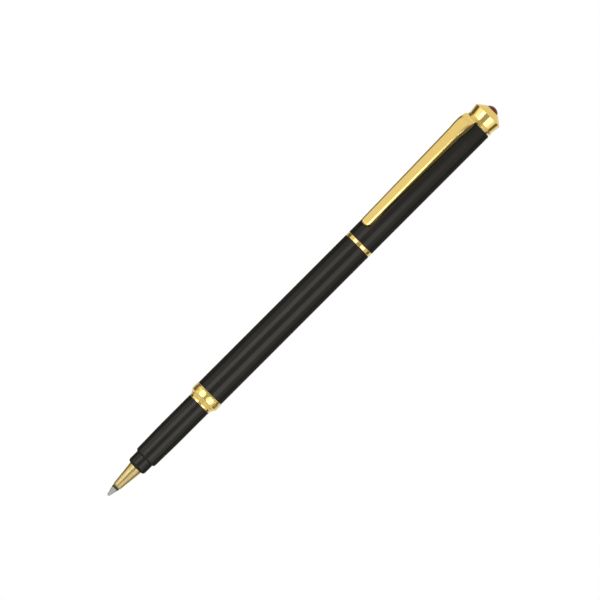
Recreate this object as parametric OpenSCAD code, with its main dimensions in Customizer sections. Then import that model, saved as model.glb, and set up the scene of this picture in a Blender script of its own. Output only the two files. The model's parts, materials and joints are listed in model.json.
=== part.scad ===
// Rollerball pen, with its cap posted on the tail of the barrel.
// The pen is turned about Z, with the writing point down and the clip facing -Y.
// Heights named *_z are measured from the writing point up the axis. in_frame() then
// moves each piece so that the origin lies at the middle of the finger grip.
// The pen is sized from the inside out: the refill sets the bores, the walls and fits
// follow, and the barrel's length is what the refill leaves behind the grip.

/* [Refill] */
// Diameter of the refill's ink tube
refill_d = 5.9; // [4.8:0.1:7.2]
// Length of the refill, from the writing point to its end
refill_len = 110.5; // [88:0.5:135]
// Wall of the ink tube
refill_wall = 0.35; // [0.25:0.05:0.5]
// Diameter of the rolling ball
ball_d = 0.7; // [0.5:0.05:0.9]
// Length of the metal point, with its ball
point_len = 2.85; // [2.3:0.05:3.5]
// Wall of the metal point round the ball
point_lip = 0.07; // [0.05:0.01:0.12]
// How far the point's rolled lip laps past the middle of the ball
lip_lap = 0.13; // [0.08:0.01:0.2]
// Length of the metal point's shank, inside the stem
shank_len = 3.5; // [2.5:0.1:4.5]
// Diameter of the metal point's shank
shank_d = 1.3; // [1.05:0.05:1.6]
// Diameter of the plastic stem behind the point
stem_d = 2.2; // [1.8:0.05:2.7]
// How far the root of the metal point lies inside the stem's surface
point_step = 0.05; // [0:0.01:0.15]
// Length of the stem that shows ahead of the nose cone
stem_show = 0.75; // [0.5:0.05:1.2]
// How far the neck behind the stem stands out from it
neck_step = 0.5; // [0.3:0.05:0.7]
// Thickness of the flange that stops the refill in the grip
flange_t = 1.2; // [0.8:0.1:1.6]
// Length of the stem's and the plug's spigots in the ink tube
refill_spigot = 4; // [3:0.5:5]
// Diameter of the ink wick
wick_d = 0.76; // [0.6:0.02:0.92]
// Length of the wick inside the ink filler
wick_lap = 3.6; // [2.5:0.1:5]
// Length of the end plug's head
plug_head = 2; // [1.5:0.1:2.5]
// Length of the nub that the spring sits on
plug_nub = 2.5; // [1.5:0.1:3]
// Diameter of the nub that the spring sits on
nub_d = 2.4; // [1.8:0.1:3]

/* [Nose] */
// Length of the nose cone that shows
cone_len = 7.65; // [6:0.05:9.2]
// Wall of the nose cone at its lip
cone_lip = 0.12; // [0.08:0.01:0.2]
// How far the bore widens behind the nose cone's lip
cone_relief = 0.2; // [0.1:0.05:0.25]
// Length of the close bore at the nose cone's lip
cone_land = 2.4; // [2:0.1:3]
// Wall of the nose cone's threaded spigot
cone_wall = 0.5; // [0.4:0.05:0.6]
// How far the root of the nose cone stands out from its spigot
cone_step = 0.3; // [0.2:0.05:0.4]
// Length of the nose cone's threaded spigot
cone_spigot = 3; // [2:0.1:3.6]
// Length of the black collar behind the nose cone
collar_len = 3.7; // [3:0.1:4.5]
// How far the collar lies inside the grip's bore
collar_step = 0.08; // [0.04:0.01:0.15]
// Radius of the collar's front edge
collar_round = 0.8; // [0.4:0.1:0.95]
// Length of the collar's shank inside the grip
collar_shank = 2.05; // [1.7:0.05:3]

/* [Grip] */
// Length of the grip
grip_len = 21.9; // [18:0.1:26.5]
// Wall of the grip at its front
grip_wall = 0.47; // [0.46:0.01:0.6]
// Wall of the grip over the connector
skirt_wall = 0.33; // [0.25:0.01:0.4]
// Length of the grip's straight rear part, which the fingers and the cap hold
hold_len = 12.8; // [9:0.1:14.5]
// Bevel of the grip's front edge
grip_bevel = 0.44; // [0.1:0.01:0.46]
// Wall of the connector inside the grip
spigot_wall = 0.32; // [0.25:0.01:0.4]
// Length of the connector inside the grip
spigot_len = 5; // [4:0.1:6.5]
// Wall of the connector's thread
thread_wall = 0.52; // [0.43:0.01:0.65]
// Pitch of the barrel's thread
thread_pitch = 0.75; // [0.5:0.05:1]
// Turns of thread that hold the barrel
thread_turns = 7; // [4:1:9]
// Length of the gold ring behind the grip
ring_len = 1.3; // [1:0.1:2.2]
// How far the gold ring stands out from the grip
ring_proud = 0.24; // [0.2:0.01:0.4]
// How far the gold ring flares towards the centre band
ring_flare = 0.24; // [0.2:0.01:0.4]
// Length of the gold ring's flare
ring_flare_len = 0.7; // [0.5:0.05:0.9]

/* [Barrel] */
// Wall of the barrel tube
barrel_wall = 0.55; // [0.45:0.01:0.7]
// Wall of the threaded bush in the barrel
bush_wall = 0.33; // [0.27:0.01:0.4]
// Length of the threaded bush
bush_len = 10; // [8:0.5:12]
// Length of the centre band
band_len = 3; // [2.5:0.1:3.6]
// Length of the centre band's flare
band_flare_len = 1.1; // [0.5:0.05:1.3]
// Thickness of the centre band's front wall
band_front = 1; // [0.8:0.1:1.2]
// How far the centre band and the crown stand out from the barrel
band_proud = 0.2; // [0.1:0.01:0.3]
// Width of the bright rim at the rear of the centre band
band_rim = 0.45; // [0.3:0.05:0.6]
// Length of the tail that the cap is posted on
tail_len = 13.5; // [11:0.1:16.5]
// Length of the tail's shank inside the barrel
tail_shank = 8; // [6:0.5:12]
// Thickness of the tail's end
tail_end_wall = 1; // [0.7:0.1:1.4]
// Room for the spring behind the refill
spring_room = 2.45; // [1.5:0.05:3.5]
// Thickness of the spring's wire
wire_d = 0.4; // [0.3:0.05:0.5]
// Diameter of the spring over its coils
spring_d = 4.2; // [3.8:0.1:4.6]
// Working coils of the spring
spring_coils = 4; // [3:1:6]

/* [Cap] */
// Wall of the cap tube
cap_wall = 0.4; // [0.32:0.01:0.5]
// Thickness of the cap tube's end
cap_end_wall = 0.8; // [0.6:0.05:1]
// Radius of the cap tube's top edge
cap_round = 0.35; // [0.1:0.05:0.38]
// Length of the gold ring at the cap's mouth
lip_len = 1.4; // [1:0.1:1.8]
// How far the mouth ring stands out from the cap
lip_proud = 0.05; // [0:0.01:0.2]
// Length of the clutch that grips the tail or the grip
clutch_len = 8; // [6:0.5:10]
// Slits in the clutch
clutch_slits = 6; // [3:1:8]
// Width of a slit
slit_w = 0.4; // [0.3:0.05:0.6]
// Wall of the inner cap's end
inner_end_wall = 0.75; // [0.5:0.05:1]
// How far the inner cap laps over the grip of the capped pen
inner_lap = 2.9; // [1.5:0.1:3.5]
// Room between the writing point and the inner cap of the capped pen
tip_room = 0.9; // [0.7:0.1:2.5]
// Room between the inner cap and the crown's screw
headroom = 7.2; // [4:0.1:12]

/* [Clip] */
// Width of the clip at its lower end
clip_w = 3.3; // [2.7:0.1:3.9]
// Width of the clip where its head begins
clip_wide = 4.1; // [3.4:0.1:4.9]
// Width of the clip's head at its top
head_w = 4.8; // [4:0.1:5.7]
// Length of the clip's head, which widens and bends in towards the cap
head_len = 5.9; // [4.9:0.1:7]
// How far the head bends in towards the cap
head_drop = 1.15; // [0.9:0.05:1.35]
// Distance from the cap's surface to the clip's outer face, where the head begins
clip_stand = 1.9; // [1.75:0.05:2.3]
// Distance from the cap's surface to the clip's outer face, at its lower end
clip_low_stand = 1.1; // [0.9:0.05:1.3]
// Thickness of the clip's sheet metal
clip_t = 0.4; // [0.3:0.02:0.48]
// Distance from the mouth ring to the clip's lower end
clip_end_gap = 4.35; // [2:0.05:8]
// Length of the foot that presses on the cap
foot_len = 6.8; // [4:0.1:9]

/* [Crown] */
// Length of the ring under the crown
neck_len = 0.75; // [0.5:0.05:1]
// Length of the crown's flared drum
drum_len = 3; // [2.4:0.1:4]
// How far the drum is drawn in above its ring
drum_draw = 0.15; // [0.05:0.01:0.3]
// Height of the crown's dome
dome_len = 1.85; // [1.5:0.05:2.3]
// Diameter of the jewel
jewel_d = 4; // [3.2:0.1:4.8]
// How far the jewel stands out of the crown
jewel_rise = 1.15; // [0.8:0.05:1.5]
// Depth of the jewel's seat
jewel_seat = 0.9; // [0.6:0.05:1.1]
// Diameter of the crown's screw
screw_d = 3.2; // [2.6:0.1:3.8]
// Length of the screw's thread inside the crown
screw_reach = 2.5; // [1.8:0.1:2.9]
// Diameter of the screw's head
screw_head_d = 6; // [5:0.1:6.8]
// Thickness of the screw's head
screw_head = 1.6; // [1.2:0.1:2]
// Width of the screw's slot
screw_slot = 0.8; // [0.6:0.05:1]
// Thickness of the washer under the screw's head
washer_t = 0.4; // [0.3:0.05:0.5]

/* [Fits] */
// Radial gap of a running or sliding fit
run_gap = 0.02; // [0.015:0.005:0.05]
// Radial gap between the refill and its bore
refill_gap = 0.13; // [0.1:0.01:0.25]
// Radial gap between the stem and the nose cone's lip
stem_gap = 0.05; // [0.02:0.01:0.08]
// Radial gap round the ball
ball_gap = 0.01; // [0.01:0.005:0.02]
// Gap between pieces that stand clear of each other
clear_gap = 0.05; // [0.03:0.01:0.1]
// Bevel on each side of the line where the barrel unscrews
parting = 0.08; // [0.04:0.01:0.12]

/* [Hidden] */

$fn = 96;
cut = 0.01;
arc_steps = 6;
head_steps = 8;

GOLD = "goldenrod";
LACQUER = "#1c1c1f";
NICKEL = "silver";
BRASS = "darkgoldenrod";

// Radii, from the refill outwards
ball_r = ball_d / 2;
socket_r = ball_r + ball_gap;
stem_r = stem_d / 2;
neck_r = stem_r + neck_step;
shank_r = shank_d / 2;
wick_r = wick_d / 2;
wick_bore_r = wick_r + run_gap;
refill_r = refill_d / 2;
ink_bore_r = refill_r - refill_wall;
filler_r = ink_bore_r - clear_gap;
nub_r = nub_d / 2;
cone_bore_r = stem_r + stem_gap;
cone_lip_r = cone_bore_r + cone_lip;
cone_relief_r = cone_bore_r + cone_relief;
cone_spigot_r = cone_relief_r + cone_wall;
cone_root_r = cone_spigot_r + cone_step;
pen_bore_r = refill_r + refill_gap;
collar_r = pen_bore_r - collar_step;
collar_bore_r = neck_r + refill_gap;
grip_front_r = pen_bore_r + grip_wall;
spigot_r = pen_bore_r + spigot_wall;
hold_r = spigot_r + skirt_wall;
ring_r = hold_r + ring_proud;
flare_r = ring_r + ring_flare;
thread_r = pen_bore_r + thread_wall;
nut_r = thread_r + run_gap;
bush_r = nut_r + bush_wall;
body_r = bush_r + barrel_wall;
band_r = body_r + band_proud;
cap_bore_r = body_r - cap_wall;
inner_bore_r = hold_r;
clip_face = body_r + clip_stand;
clip_low_face = body_r + clip_low_stand;
head_face = clip_face - head_drop;
clip_side_r = body_r + clear_gap;
screw_r = screw_d / 2;
screw_hole_r = screw_r + clear_gap;
jewel_r = jewel_d / 2;

// Heights, from the writing point upwards
seat_z = ball_r;
cone_z = point_len + stem_show;
collar_z = cone_z + cone_len;
grip_z = collar_z + collar_len;
stop_z = grip_z + collar_shank;
ring_z = grip_z + grip_len;
band_z = ring_z + ring_len;
barrel_z = band_z + band_len;
bush_z = band_z + band_front + clear_gap;
hold_z = ring_z - hold_len / 2;
tail_bottom_z = refill_len + spring_room;
tail_end_z = tail_bottom_z + tail_end_wall;
mouth_z = tail_end_z - tail_len;
cap_z = mouth_z + lip_len;
inner_z = mouth_z + grip_len - inner_lap;
inner_end_z = mouth_z + ring_z + tip_room;
screw_z = inner_end_z + inner_end_wall + headroom;
washer_z = screw_z + screw_head;
cap_end_z = washer_z + washer_t;
cap_top_z = cap_end_z + cap_end_wall;
neck_z = cap_top_z + clip_t;
crown_z = neck_z + neck_len;
dome_z = crown_z + drum_len;
crown_end_z = dome_z + dome_len;
plug_head_z = refill_len - plug_nub - plug_head;
ink_tube_z = stop_z + flange_t;
filler_z = ink_tube_z + refill_spigot + run_gap;
filler_end_z = plug_head_z - refill_spigot - run_gap;
wick_z = point_len + clear_gap;
clip_z = cap_z + clip_end_gap;
clip_top_z = cap_top_z - clear_gap;
head_z = clip_top_z - head_len;

// Points on an arc about c, from angle a0 to a1
function arc(c, r, a0, a1) = [
    for (i = [0 : arc_steps])
        let (a = a0 + (a1 - a0) * i / arc_steps)
            c + r * [cos(a), sin(a)]
];

// Puts a piece drawn from the writing point into the pen's frame
module in_frame() {
    translate([0, 0, -hold_z])
        children();
}

// A turned solid, from [radius, height] points
module turned(points) {
    rotate_extrude()
        polygon(points);
}

// A round bore from z0 to z1
module bore(r, z0, z1) {
    translate([0, 0, z0])
        cylinder(r = r, h = z1 - z0);
}

// A plain tube from z0 to z1
module tube(r_out, r_in, z0, z1) {
    difference() {
        bore(r_out, z0, z1);
        bore(r_in, z0 - cut, z1 + cut);
    }
}

// ---- Refill ----

module ball() {
    in_frame()
        color("lightgray")
            translate([0, 0, seat_z])
                sphere(r = ball_r);
}

module point() {
    root_r = stem_r - point_step;
    lip_z = seat_z - lip_lap;
    in_frame()
        color(NICKEL)
            difference() {
                turned([
                    [0, lip_z],
                    [socket_r + point_lip, lip_z],
                    [root_r, point_len],
                    [shank_r, point_len],
                    [shank_r, point_len + shank_len],
                    [0, point_len + shank_len]
                ]);
                translate([0, 0, seat_z])
                    sphere(r = socket_r);
                bore(ball_r / 3, seat_z, wick_z);
                bore(wick_bore_r, point_len, point_len + shank_len + cut);
            }
}

module stem() {
    neck_start_z = collar_z + cone_spigot + refill_gap;
    spigot_end_z = ink_tube_z + refill_spigot;
    in_frame()
        color("#202022")
            difference() {
                turned([
                    [0, point_len],
                    [stem_r, point_len],
                    [stem_r, neck_start_z],
                    [neck_r, neck_start_z],
                    [neck_r, stop_z],
                    [refill_r, stop_z],
                    [refill_r, ink_tube_z],
                    [ink_bore_r, ink_tube_z],
                    [ink_bore_r, spigot_end_z],
                    [0, spigot_end_z]
                ]);
                bore(shank_r, point_len - cut, point_len + shank_len);
                bore(wick_bore_r, point_len, spigot_end_z + cut);
            }
}

module ink_wick() {
    in_frame()
        color("ivory")
            bore(wick_r, wick_z, filler_z + wick_lap);
}

module ink_tube() {
    in_frame()
        color("white")
            tube(refill_r, ink_bore_r, ink_tube_z, plug_head_z);
}

module ink_filler() {
    in_frame()
        color("#26304a")
            difference() {
                bore(filler_r, filler_z, filler_end_z);
                bore(wick_bore_r, filler_z - cut, filler_z + wick_lap + run_gap);
            }
}

module end_plug() {
    vent_r = wick_r / 2;
    in_frame()
        color("#303236")
            difference() {
                turned([
                    [0, plug_head_z - refill_spigot],
                    [ink_bore_r, plug_head_z - refill_spigot],
                    [ink_bore_r, plug_head_z],
                    [refill_r, plug_head_z],
                    [refill_r, plug_head_z + plug_head],
                    [nub_r, plug_head_z + plug_head],
                    [nub_r, refill_len],
                    [0, refill_len]
                ]);
                bore(vent_r, plug_head_z - refill_spigot - cut, refill_len + cut);
            }
}

// ---- Section: what the fingers hold ----

module nose_cone() {
    in_frame()
        color(GOLD)
            difference() {
                turned([
                    [0, cone_z],
                    [cone_lip_r, cone_z],
                    [cone_root_r, collar_z],
                    [cone_spigot_r, collar_z],
                    [cone_spigot_r, collar_z + cone_spigot],
                    [0, collar_z + cone_spigot]
                ]);
                bore(cone_bore_r, cone_z - cut, collar_z);
                bore(cone_relief_r, cone_z + cone_land, collar_z + cone_spigot + cut);
            }
}

module nose_collar() {
    in_frame()
        color(LACQUER)
            difference() {
                turned(concat(
                    [[0, collar_z]],
                    arc([collar_r - collar_round, collar_z + collar_round], collar_round, -90, 0),
                    [
                        [collar_r, grip_z],
                        [pen_bore_r, grip_z],
                        [pen_bore_r, stop_z],
                        [0, stop_z]
                    ]
                ));
                bore(cone_spigot_r, collar_z - cut, collar_z + cone_spigot);
                bore(collar_bore_r, collar_z, stop_z + cut);
            }
}

module grip() {
    in_frame()
        color(LACQUER)
            difference() {
                turned([
                    [0, grip_z],
                    [grip_front_r - grip_bevel, grip_z],
                    [grip_front_r, grip_z + grip_bevel],
                    [hold_r, ring_z - hold_len],
                    [hold_r, ring_z],
                    [0, ring_z]
                ]);
                bore(pen_bore_r, grip_z - cut, ring_z);
                bore(spigot_r, ring_z - spigot_len, ring_z + cut);
            }
}

// The connector's thread is drawn plain at its outer radius
module connector() {
    thread_end_z = bush_z + thread_pitch * thread_turns;
    in_frame()
        color(BRASS)
            difference() {
                turned([
                    [0, ring_z - spigot_len],
                    [spigot_r, ring_z - spigot_len],
                    [spigot_r, band_z],
                    [thread_r, band_z],
                    [thread_r, thread_end_z],
                    [0, thread_end_z]
                ]);
                bore(pen_bore_r, ring_z - spigot_len - cut, thread_end_z + cut);
            }
}

module grip_ring() {
    round_r = ring_proud / 2;
    in_frame()
        color(GOLD)
            difference() {
                turned(concat(
                    [[0, ring_z]],
                    arc([ring_r - round_r, ring_z + round_r], round_r, -90, 0),
                    [
                        [ring_r, band_z - ring_flare_len],
                        [flare_r, band_z - parting],
                        [flare_r - parting, band_z],
                        [0, band_z]
                    ]
                ));
                bore(spigot_r, ring_z - cut, band_z + cut);
            }
}

// ---- Barrel ----

module centre_band() {
    rim_z = barrel_z - band_rim;
    groove = band_proud / 2;
    in_frame()
        color(GOLD)
            difference() {
                turned(concat(
                    [
                        [0, band_z],
                        [flare_r - parting, band_z],
                        [flare_r, band_z + parting],
                        [band_r, band_z + band_flare_len],
                        [band_r, rim_z - 2 * groove],
                        [band_r - groove, rim_z - groove],
                        [band_r - groove, rim_z]
                    ],
                    arc([band_r - band_rim / 2, barrel_z - band_rim / 2], band_rim / 2, -90, 90),
                    [[0, barrel_z]]
                ));
                bore(nut_r, band_z - cut, barrel_z);
                bore(bush_r + run_gap, band_z + band_front, barrel_z + cut);
            }
}

module barrel_bush() {
    in_frame()
        color(BRASS)
            tube(bush_r, nut_r, bush_z, bush_z + bush_len);
}

module barrel_tube() {
    in_frame()
        color(LACQUER)
            tube(body_r, bush_r, barrel_z, mouth_z);
}

module barrel_tail() {
    round_r = tail_end_wall * 0.8;
    in_frame()
        color(LACQUER)
            difference() {
                turned(concat(
                    [
                        [0, mouth_z - tail_shank],
                        [bush_r, mouth_z - tail_shank],
                        [bush_r, mouth_z],
                        [hold_r, mouth_z]
                    ],
                    arc([hold_r - round_r, tail_end_z - round_r], round_r, 0, 90),
                    [[0, tail_end_z]]
                ));
                bore(pen_bore_r, mouth_z - tail_shank - cut, tail_bottom_z);
            }
}

// One ring of points round the spring's wire, where the coil has turned by a
function wire_ring(r, a, z, sides) = [
    for (k = [0 : sides - 1])
        let (b = 360 * k / sides, d = r + wire_d / 2 * cos(b))
            [d * cos(a), d * sin(a), z + wire_d / 2 * sin(b)]
];

// A round-wire coil from z0 to z1 with one closed turn at each end
module coil(r, z0, z1, coils) {
    sides = 8;
    steps = 24;
    turns = coils + 2;
    rise = z1 - z0 - 3 * wire_d;
    count = turns * steps;
    heights = [
        for (i = [0 : count])
            let (t = i / steps, worked = min(max(t - 1, 0), coils))
                z0 + wire_d * (0.5 + min(t, 1) + max(t - coils - 1, 0)) + rise * worked / coils
    ];
    points = [
        for (i = [0 : count])
            each wire_ring(r, 360 * i / steps, heights[i], sides)
    ];
    walls = [
        for (i = [0 : count - 1], k = [0 : sides - 1])
            let (a = i * sides, b = a + sides, n = (k + 1) % sides)
                [a + k, b + k, b + n, a + n]
    ];
    first = [for (k = [0 : sides - 1]) k];
    last = [for (k = [sides - 1 : -1 : 0]) count * sides + k];
    polyhedron(points, concat(walls, [first, last]), convexity = 10);
}

module refill_spring() {
    in_frame()
        color(NICKEL)
            coil(
                (spring_d - wire_d) / 2,
                plug_head_z + plug_head + run_gap,
                tail_bottom_z - run_gap,
                spring_coils
            );
}

// ---- Cap ----

module mouth_ring() {
    ring_out_r = body_r + lip_proud;
    round_r = lip_len / 4;
    in_frame()
        color(GOLD)
            difference() {
                turned(concat(
                    [[0, mouth_z]],
                    arc([ring_out_r - round_r, mouth_z + round_r], round_r, -90, 0),
                    arc([ring_out_r - round_r, cap_z - round_r], round_r, 0, 90),
                    [[0, cap_z]]
                ));
                bore(hold_r + clear_gap, mouth_z - cut, cap_z + cut);
            }
}

module cap_clutch() {
    start_z = cap_z + clear_gap;
    slit_len = clutch_len * 0.7;
    in_frame()
        color(BRASS)
            difference() {
                tube(cap_bore_r - run_gap, hold_r + run_gap, start_z, start_z + clutch_len);
                for (i = [0 : clutch_slits - 1])
                    rotate(360 * i / clutch_slits)
                        translate([0, -slit_w / 2, start_z - cut])
                            cube([cap_bore_r, slit_w, slit_len]);
            }
}

module cap_tube() {
    in_frame()
        color(LACQUER)
            difference() {
                turned(concat(
                    [[0, cap_z], [body_r, cap_z]],
                    arc([body_r - cap_round, cap_top_z - cap_round], cap_round, 0, 90),
                    [[0, cap_top_z]]
                ));
                bore(cap_bore_r, cap_z - cut, cap_end_z);
                bore(screw_hole_r, cap_end_z - cut, cap_top_z + cut);
            }
}

module inner_cap() {
    in_frame()
        color("#3a3c40")
            difference() {
                bore(cap_bore_r, inner_z, inner_end_z + inner_end_wall);
                bore(inner_bore_r, inner_z - cut, inner_end_z);
            }
}

// ---- Clip ----

// Heights from the clip's lower corners to its top, close together in its head
function clip_heights(low, high) = [
    low,
    for (i = [0 : head_steps])
        head_z + (high - head_z) * i / head_steps
];

// How far up the clip's head a height lies, from 0 to 1
function head_share(z) = max(0, z - head_z) / head_len;

// Half the clip's width at a height
function clip_half(z) =
    let (t = head_share(z), taper = min(1, (z - clip_z) / (head_z - clip_z)))
        (clip_w + (clip_wide - clip_w) * taper + (head_w - clip_wide) * t * (2 - t)) / 2;

// Distance from the axis to the clip's outer face at a height
function clip_reach(z) =
    let (t = head_share(z), rise = min(1, (z - clip_z) / (head_z - clip_z)))
        clip_low_face + (clip_face - clip_low_face) * rise - head_drop * t * t;

// The clip's outline from outside, drawn with x across the cap and y up the pen
module clip_outline(inset) {
    half = clip_half(clip_z) - inset;
    low = clip_z + inset;
    corner = half * 0.7;
    heights = clip_heights(low + corner, clip_top_z - inset);
    right = [for (z = heights) [clip_half(z) - inset, z]];
    left = [for (i = [len(right) - 1 : -1 : 0]) [-right[i][0], right[i][1]]];
    union() {
        polygon(concat(right, left));
        for (side = [-1, 1])
            translate([side * (half - corner), low + corner])
                circle(r = corner);
        translate([corner - half, low])
            square([2 * (half - corner), 2 * corner]);
    }
}

// The clip's side view: x is y of the pen, y is up the pen, and the face bows outwards
module clip_profile(inset) {
    face = [for (z = clip_heights(clip_z, clip_top_z)) [inset - clip_reach(z), z]];
    polygon(concat([[-clip_side_r + inset, clip_z]], face, [[-clip_side_r + inset, clip_top_z]]));
}

// The clip's outline raised to its outer face, or to its inner face by an inset
module clip_body(inset) {
    intersection() {
        translate([0, -clip_side_r + inset, 0])
            rotate([90, 0, 0])
                linear_extrude(clip_face)
                    clip_outline(inset);
        translate([-head_w, 0, 0])
            rotate([90, 0, 90])
                linear_extrude(2 * head_w)
                    clip_profile(inset);
    }
}

// The pressed foot, let into half the thickness of the clip's sides
module clip_foot() {
    foot_w = clip_w - clip_t;
    foot_z = clip_z + clip_t;
    foot_end_z = foot_z + foot_len;
    half_t = clip_t / 2;
    translate([-foot_w / 2, 0, 0])
        rotate([90, 0, 90])
            linear_extrude(foot_w)
                polygon([
                    [half_t - clip_reach(foot_z), foot_z],
                    [clip_t - clip_reach(foot_z), foot_z],
                    [-clip_side_r, foot_z + foot_len * 0.35],
                    [-clip_side_r, foot_z + foot_len * 0.5],
                    [clip_t - clip_reach(foot_end_z), foot_end_z],
                    [half_t - clip_reach(foot_end_z), foot_end_z]
                ]);
}

// The clip's folded sides end level with the cap's surface
module clip() {
    in_frame()
        color(GOLD)
            union() {
                difference() {
                    clip_body(0);
                    clip_body(clip_t);
                }
                clip_foot();
            }
}

// The clip's eye, held between the cap's end and the crown
module clip_eyelet() {
    eye_r = cap_bore_r;
    in_frame()
        color(GOLD)
            difference() {
                union() {
                    bore(eye_r, cap_top_z, neck_z);
                    translate([-head_w / 2, -head_face, cap_top_z])
                        cube([head_w, head_face, clip_t]);
                }
                bore(screw_hole_r, cap_top_z - cut, neck_z + cut);
            }
}

// ---- Crown ----

module neck_ring() {
    round_r = neck_len * 0.3;
    out_r = body_r + drum_draw / 5;
    in_frame()
        color(GOLD)
            difference() {
                turned(concat(
                    [[0, neck_z]],
                    arc([out_r - round_r, neck_z + round_r], round_r, -90, 0),
                    arc([out_r - round_r, crown_z - round_r], round_r, 0, 90),
                    [[0, crown_z]]
                ));
                bore(screw_hole_r, neck_z - cut, crown_z + cut);
            }
}

module crown() {
    waist_r = body_r - drum_draw;
    shoulder = band_r - band_proud / 2;
    in_frame()
        color(GOLD)
            difference() {
                turned([
                    [0, crown_z],
                    [waist_r, crown_z],
                    [waist_r, crown_z + drum_len * 0.1],
                    [body_r, crown_z + drum_len * 0.5],
                    [band_r, dome_z],
                    [shoulder, dome_z + band_proud],
                    [jewel_r + clear_gap, crown_end_z],
                    [0, crown_end_z]
                ]);
                bore(screw_r, crown_z - cut, crown_z + screw_reach);
                bore(jewel_r, crown_end_z - jewel_seat, crown_end_z + cut);
            }
}

module crown_screw() {
    slot_depth = screw_head / 2;
    in_frame()
        color(NICKEL)
            difference() {
                union() {
                    bore(screw_head_d / 2, screw_z, washer_z);
                    bore(screw_r, screw_z, crown_z + screw_reach);
                }
                translate([-screw_head_d / 2 - cut, -screw_slot / 2, screw_z - cut])
                    cube([screw_head_d + 2 * cut, screw_slot, slot_depth]);
            }
}

module washer() {
    in_frame()
        color(NICKEL)
            tube(screw_head_d / 2 - clear_gap, screw_hole_r, washer_z, cap_end_z);
}

// A cabochon: a short drum under a cap of a sphere
module jewel() {
    dome_r = (jewel_r * jewel_r + jewel_rise * jewel_rise) / (2 * jewel_rise);
    in_frame()
        color("#7a1a14")
            intersection() {
                bore(jewel_r, crown_end_z - jewel_seat, crown_end_z + jewel_rise + cut);
                translate([0, 0, crown_end_z + jewel_rise - dome_r])
                    sphere(r = dome_r);
            }
}

ball();
point();
stem();
ink_wick();
ink_tube();
ink_filler();
end_plug();
nose_cone();
nose_collar();
grip();
connector();
grip_ring();
centre_band();
barrel_bush();
barrel_tube();
barrel_tail();
refill_spring();
mouth_ring();
cap_clutch();
cap_tube();
inner_cap();
clip();
clip_eyelet();
neck_ring();
crown();
crown_screw();
washer();
jewel();
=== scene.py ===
"""A rollerball pen with its cap posted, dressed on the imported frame.

The pen stands on its axis, Z, with the writing point down and the clip facing -Y.
Sizes are in millimetres unless a name says otherwise, and every place along the pen
comes from the frame's own nodes.
"""

import json
import logging
import math
from collections.abc import Callable, Sequence
from dataclasses import dataclass, field
from enum import Enum
from typing import NamedTuple

import bmesh
import bpy
from mathutils import Matrix, Vector

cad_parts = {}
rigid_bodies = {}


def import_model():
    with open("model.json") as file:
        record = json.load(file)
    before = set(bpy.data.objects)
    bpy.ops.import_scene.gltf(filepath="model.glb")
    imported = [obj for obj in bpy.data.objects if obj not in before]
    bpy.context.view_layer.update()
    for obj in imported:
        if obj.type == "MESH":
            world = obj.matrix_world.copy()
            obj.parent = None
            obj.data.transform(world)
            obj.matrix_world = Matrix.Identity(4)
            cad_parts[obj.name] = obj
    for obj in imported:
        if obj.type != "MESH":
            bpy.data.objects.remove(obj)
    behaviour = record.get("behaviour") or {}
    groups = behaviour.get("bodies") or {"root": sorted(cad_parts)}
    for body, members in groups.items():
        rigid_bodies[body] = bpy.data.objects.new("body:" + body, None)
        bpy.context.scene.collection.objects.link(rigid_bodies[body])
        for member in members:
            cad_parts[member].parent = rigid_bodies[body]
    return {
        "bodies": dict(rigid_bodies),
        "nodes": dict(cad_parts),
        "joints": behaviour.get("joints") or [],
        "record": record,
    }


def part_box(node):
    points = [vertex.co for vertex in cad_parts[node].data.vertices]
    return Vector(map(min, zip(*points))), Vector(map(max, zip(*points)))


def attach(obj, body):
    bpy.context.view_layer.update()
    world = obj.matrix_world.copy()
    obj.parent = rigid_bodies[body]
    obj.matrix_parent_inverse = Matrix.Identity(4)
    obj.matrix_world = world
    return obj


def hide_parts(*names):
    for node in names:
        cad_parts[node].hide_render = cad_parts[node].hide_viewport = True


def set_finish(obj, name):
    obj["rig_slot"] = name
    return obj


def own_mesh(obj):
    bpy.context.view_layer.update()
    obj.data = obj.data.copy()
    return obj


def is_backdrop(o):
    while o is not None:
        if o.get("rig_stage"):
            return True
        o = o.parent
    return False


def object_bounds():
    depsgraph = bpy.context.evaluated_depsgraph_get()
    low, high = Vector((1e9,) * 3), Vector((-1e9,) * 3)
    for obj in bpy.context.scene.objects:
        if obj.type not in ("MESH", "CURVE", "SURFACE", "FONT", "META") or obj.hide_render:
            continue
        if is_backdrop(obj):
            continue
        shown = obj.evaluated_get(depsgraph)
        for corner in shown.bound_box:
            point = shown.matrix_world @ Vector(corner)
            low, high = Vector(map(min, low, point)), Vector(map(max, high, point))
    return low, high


# A millimetre in metres, and a whole turn in radians.
MM = 0.001
TURN = 2 * math.pi
# Points round a turned piece, and steps along a rounded corner.
SEGMENTS = 128
ARC_STEPS = 6
# How far a guard point lies from its arc, at most and as a share of the room there.
GUARD = 0.06
GUARD_SHARE = 0.2
# How much of an edge a corner may take, beside another rounded corner and beside a sharp one.
SHARED_EDGE = 0.45
WHOLE_EDGE = 0.9
# A point nearer to the axis than this lies on it.
POLE = 1e-6
# An edge that bends more than this stays sharp.
SHARP_ANGLE = math.radians(32)
# Thickness of the wall that closes the barrel's tail.
TAIL_WALL = 1.0

Colour = tuple[float, float, float]
Point = tuple[float, float]
Relief = Callable[[float, float, float], float]
Socket = bpy.types.NodeSocket

log = logging.getLogger("pen")


class Body(Enum):
    """The frame's bodies."""

    SECTION = "section"
    REFILL = "refill"
    BALL = "ball"
    BAND = "band"
    BARREL = "barrel"
    CLUTCH = "clutch"
    CAP = "cap"
    CLIP = "clip"


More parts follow.
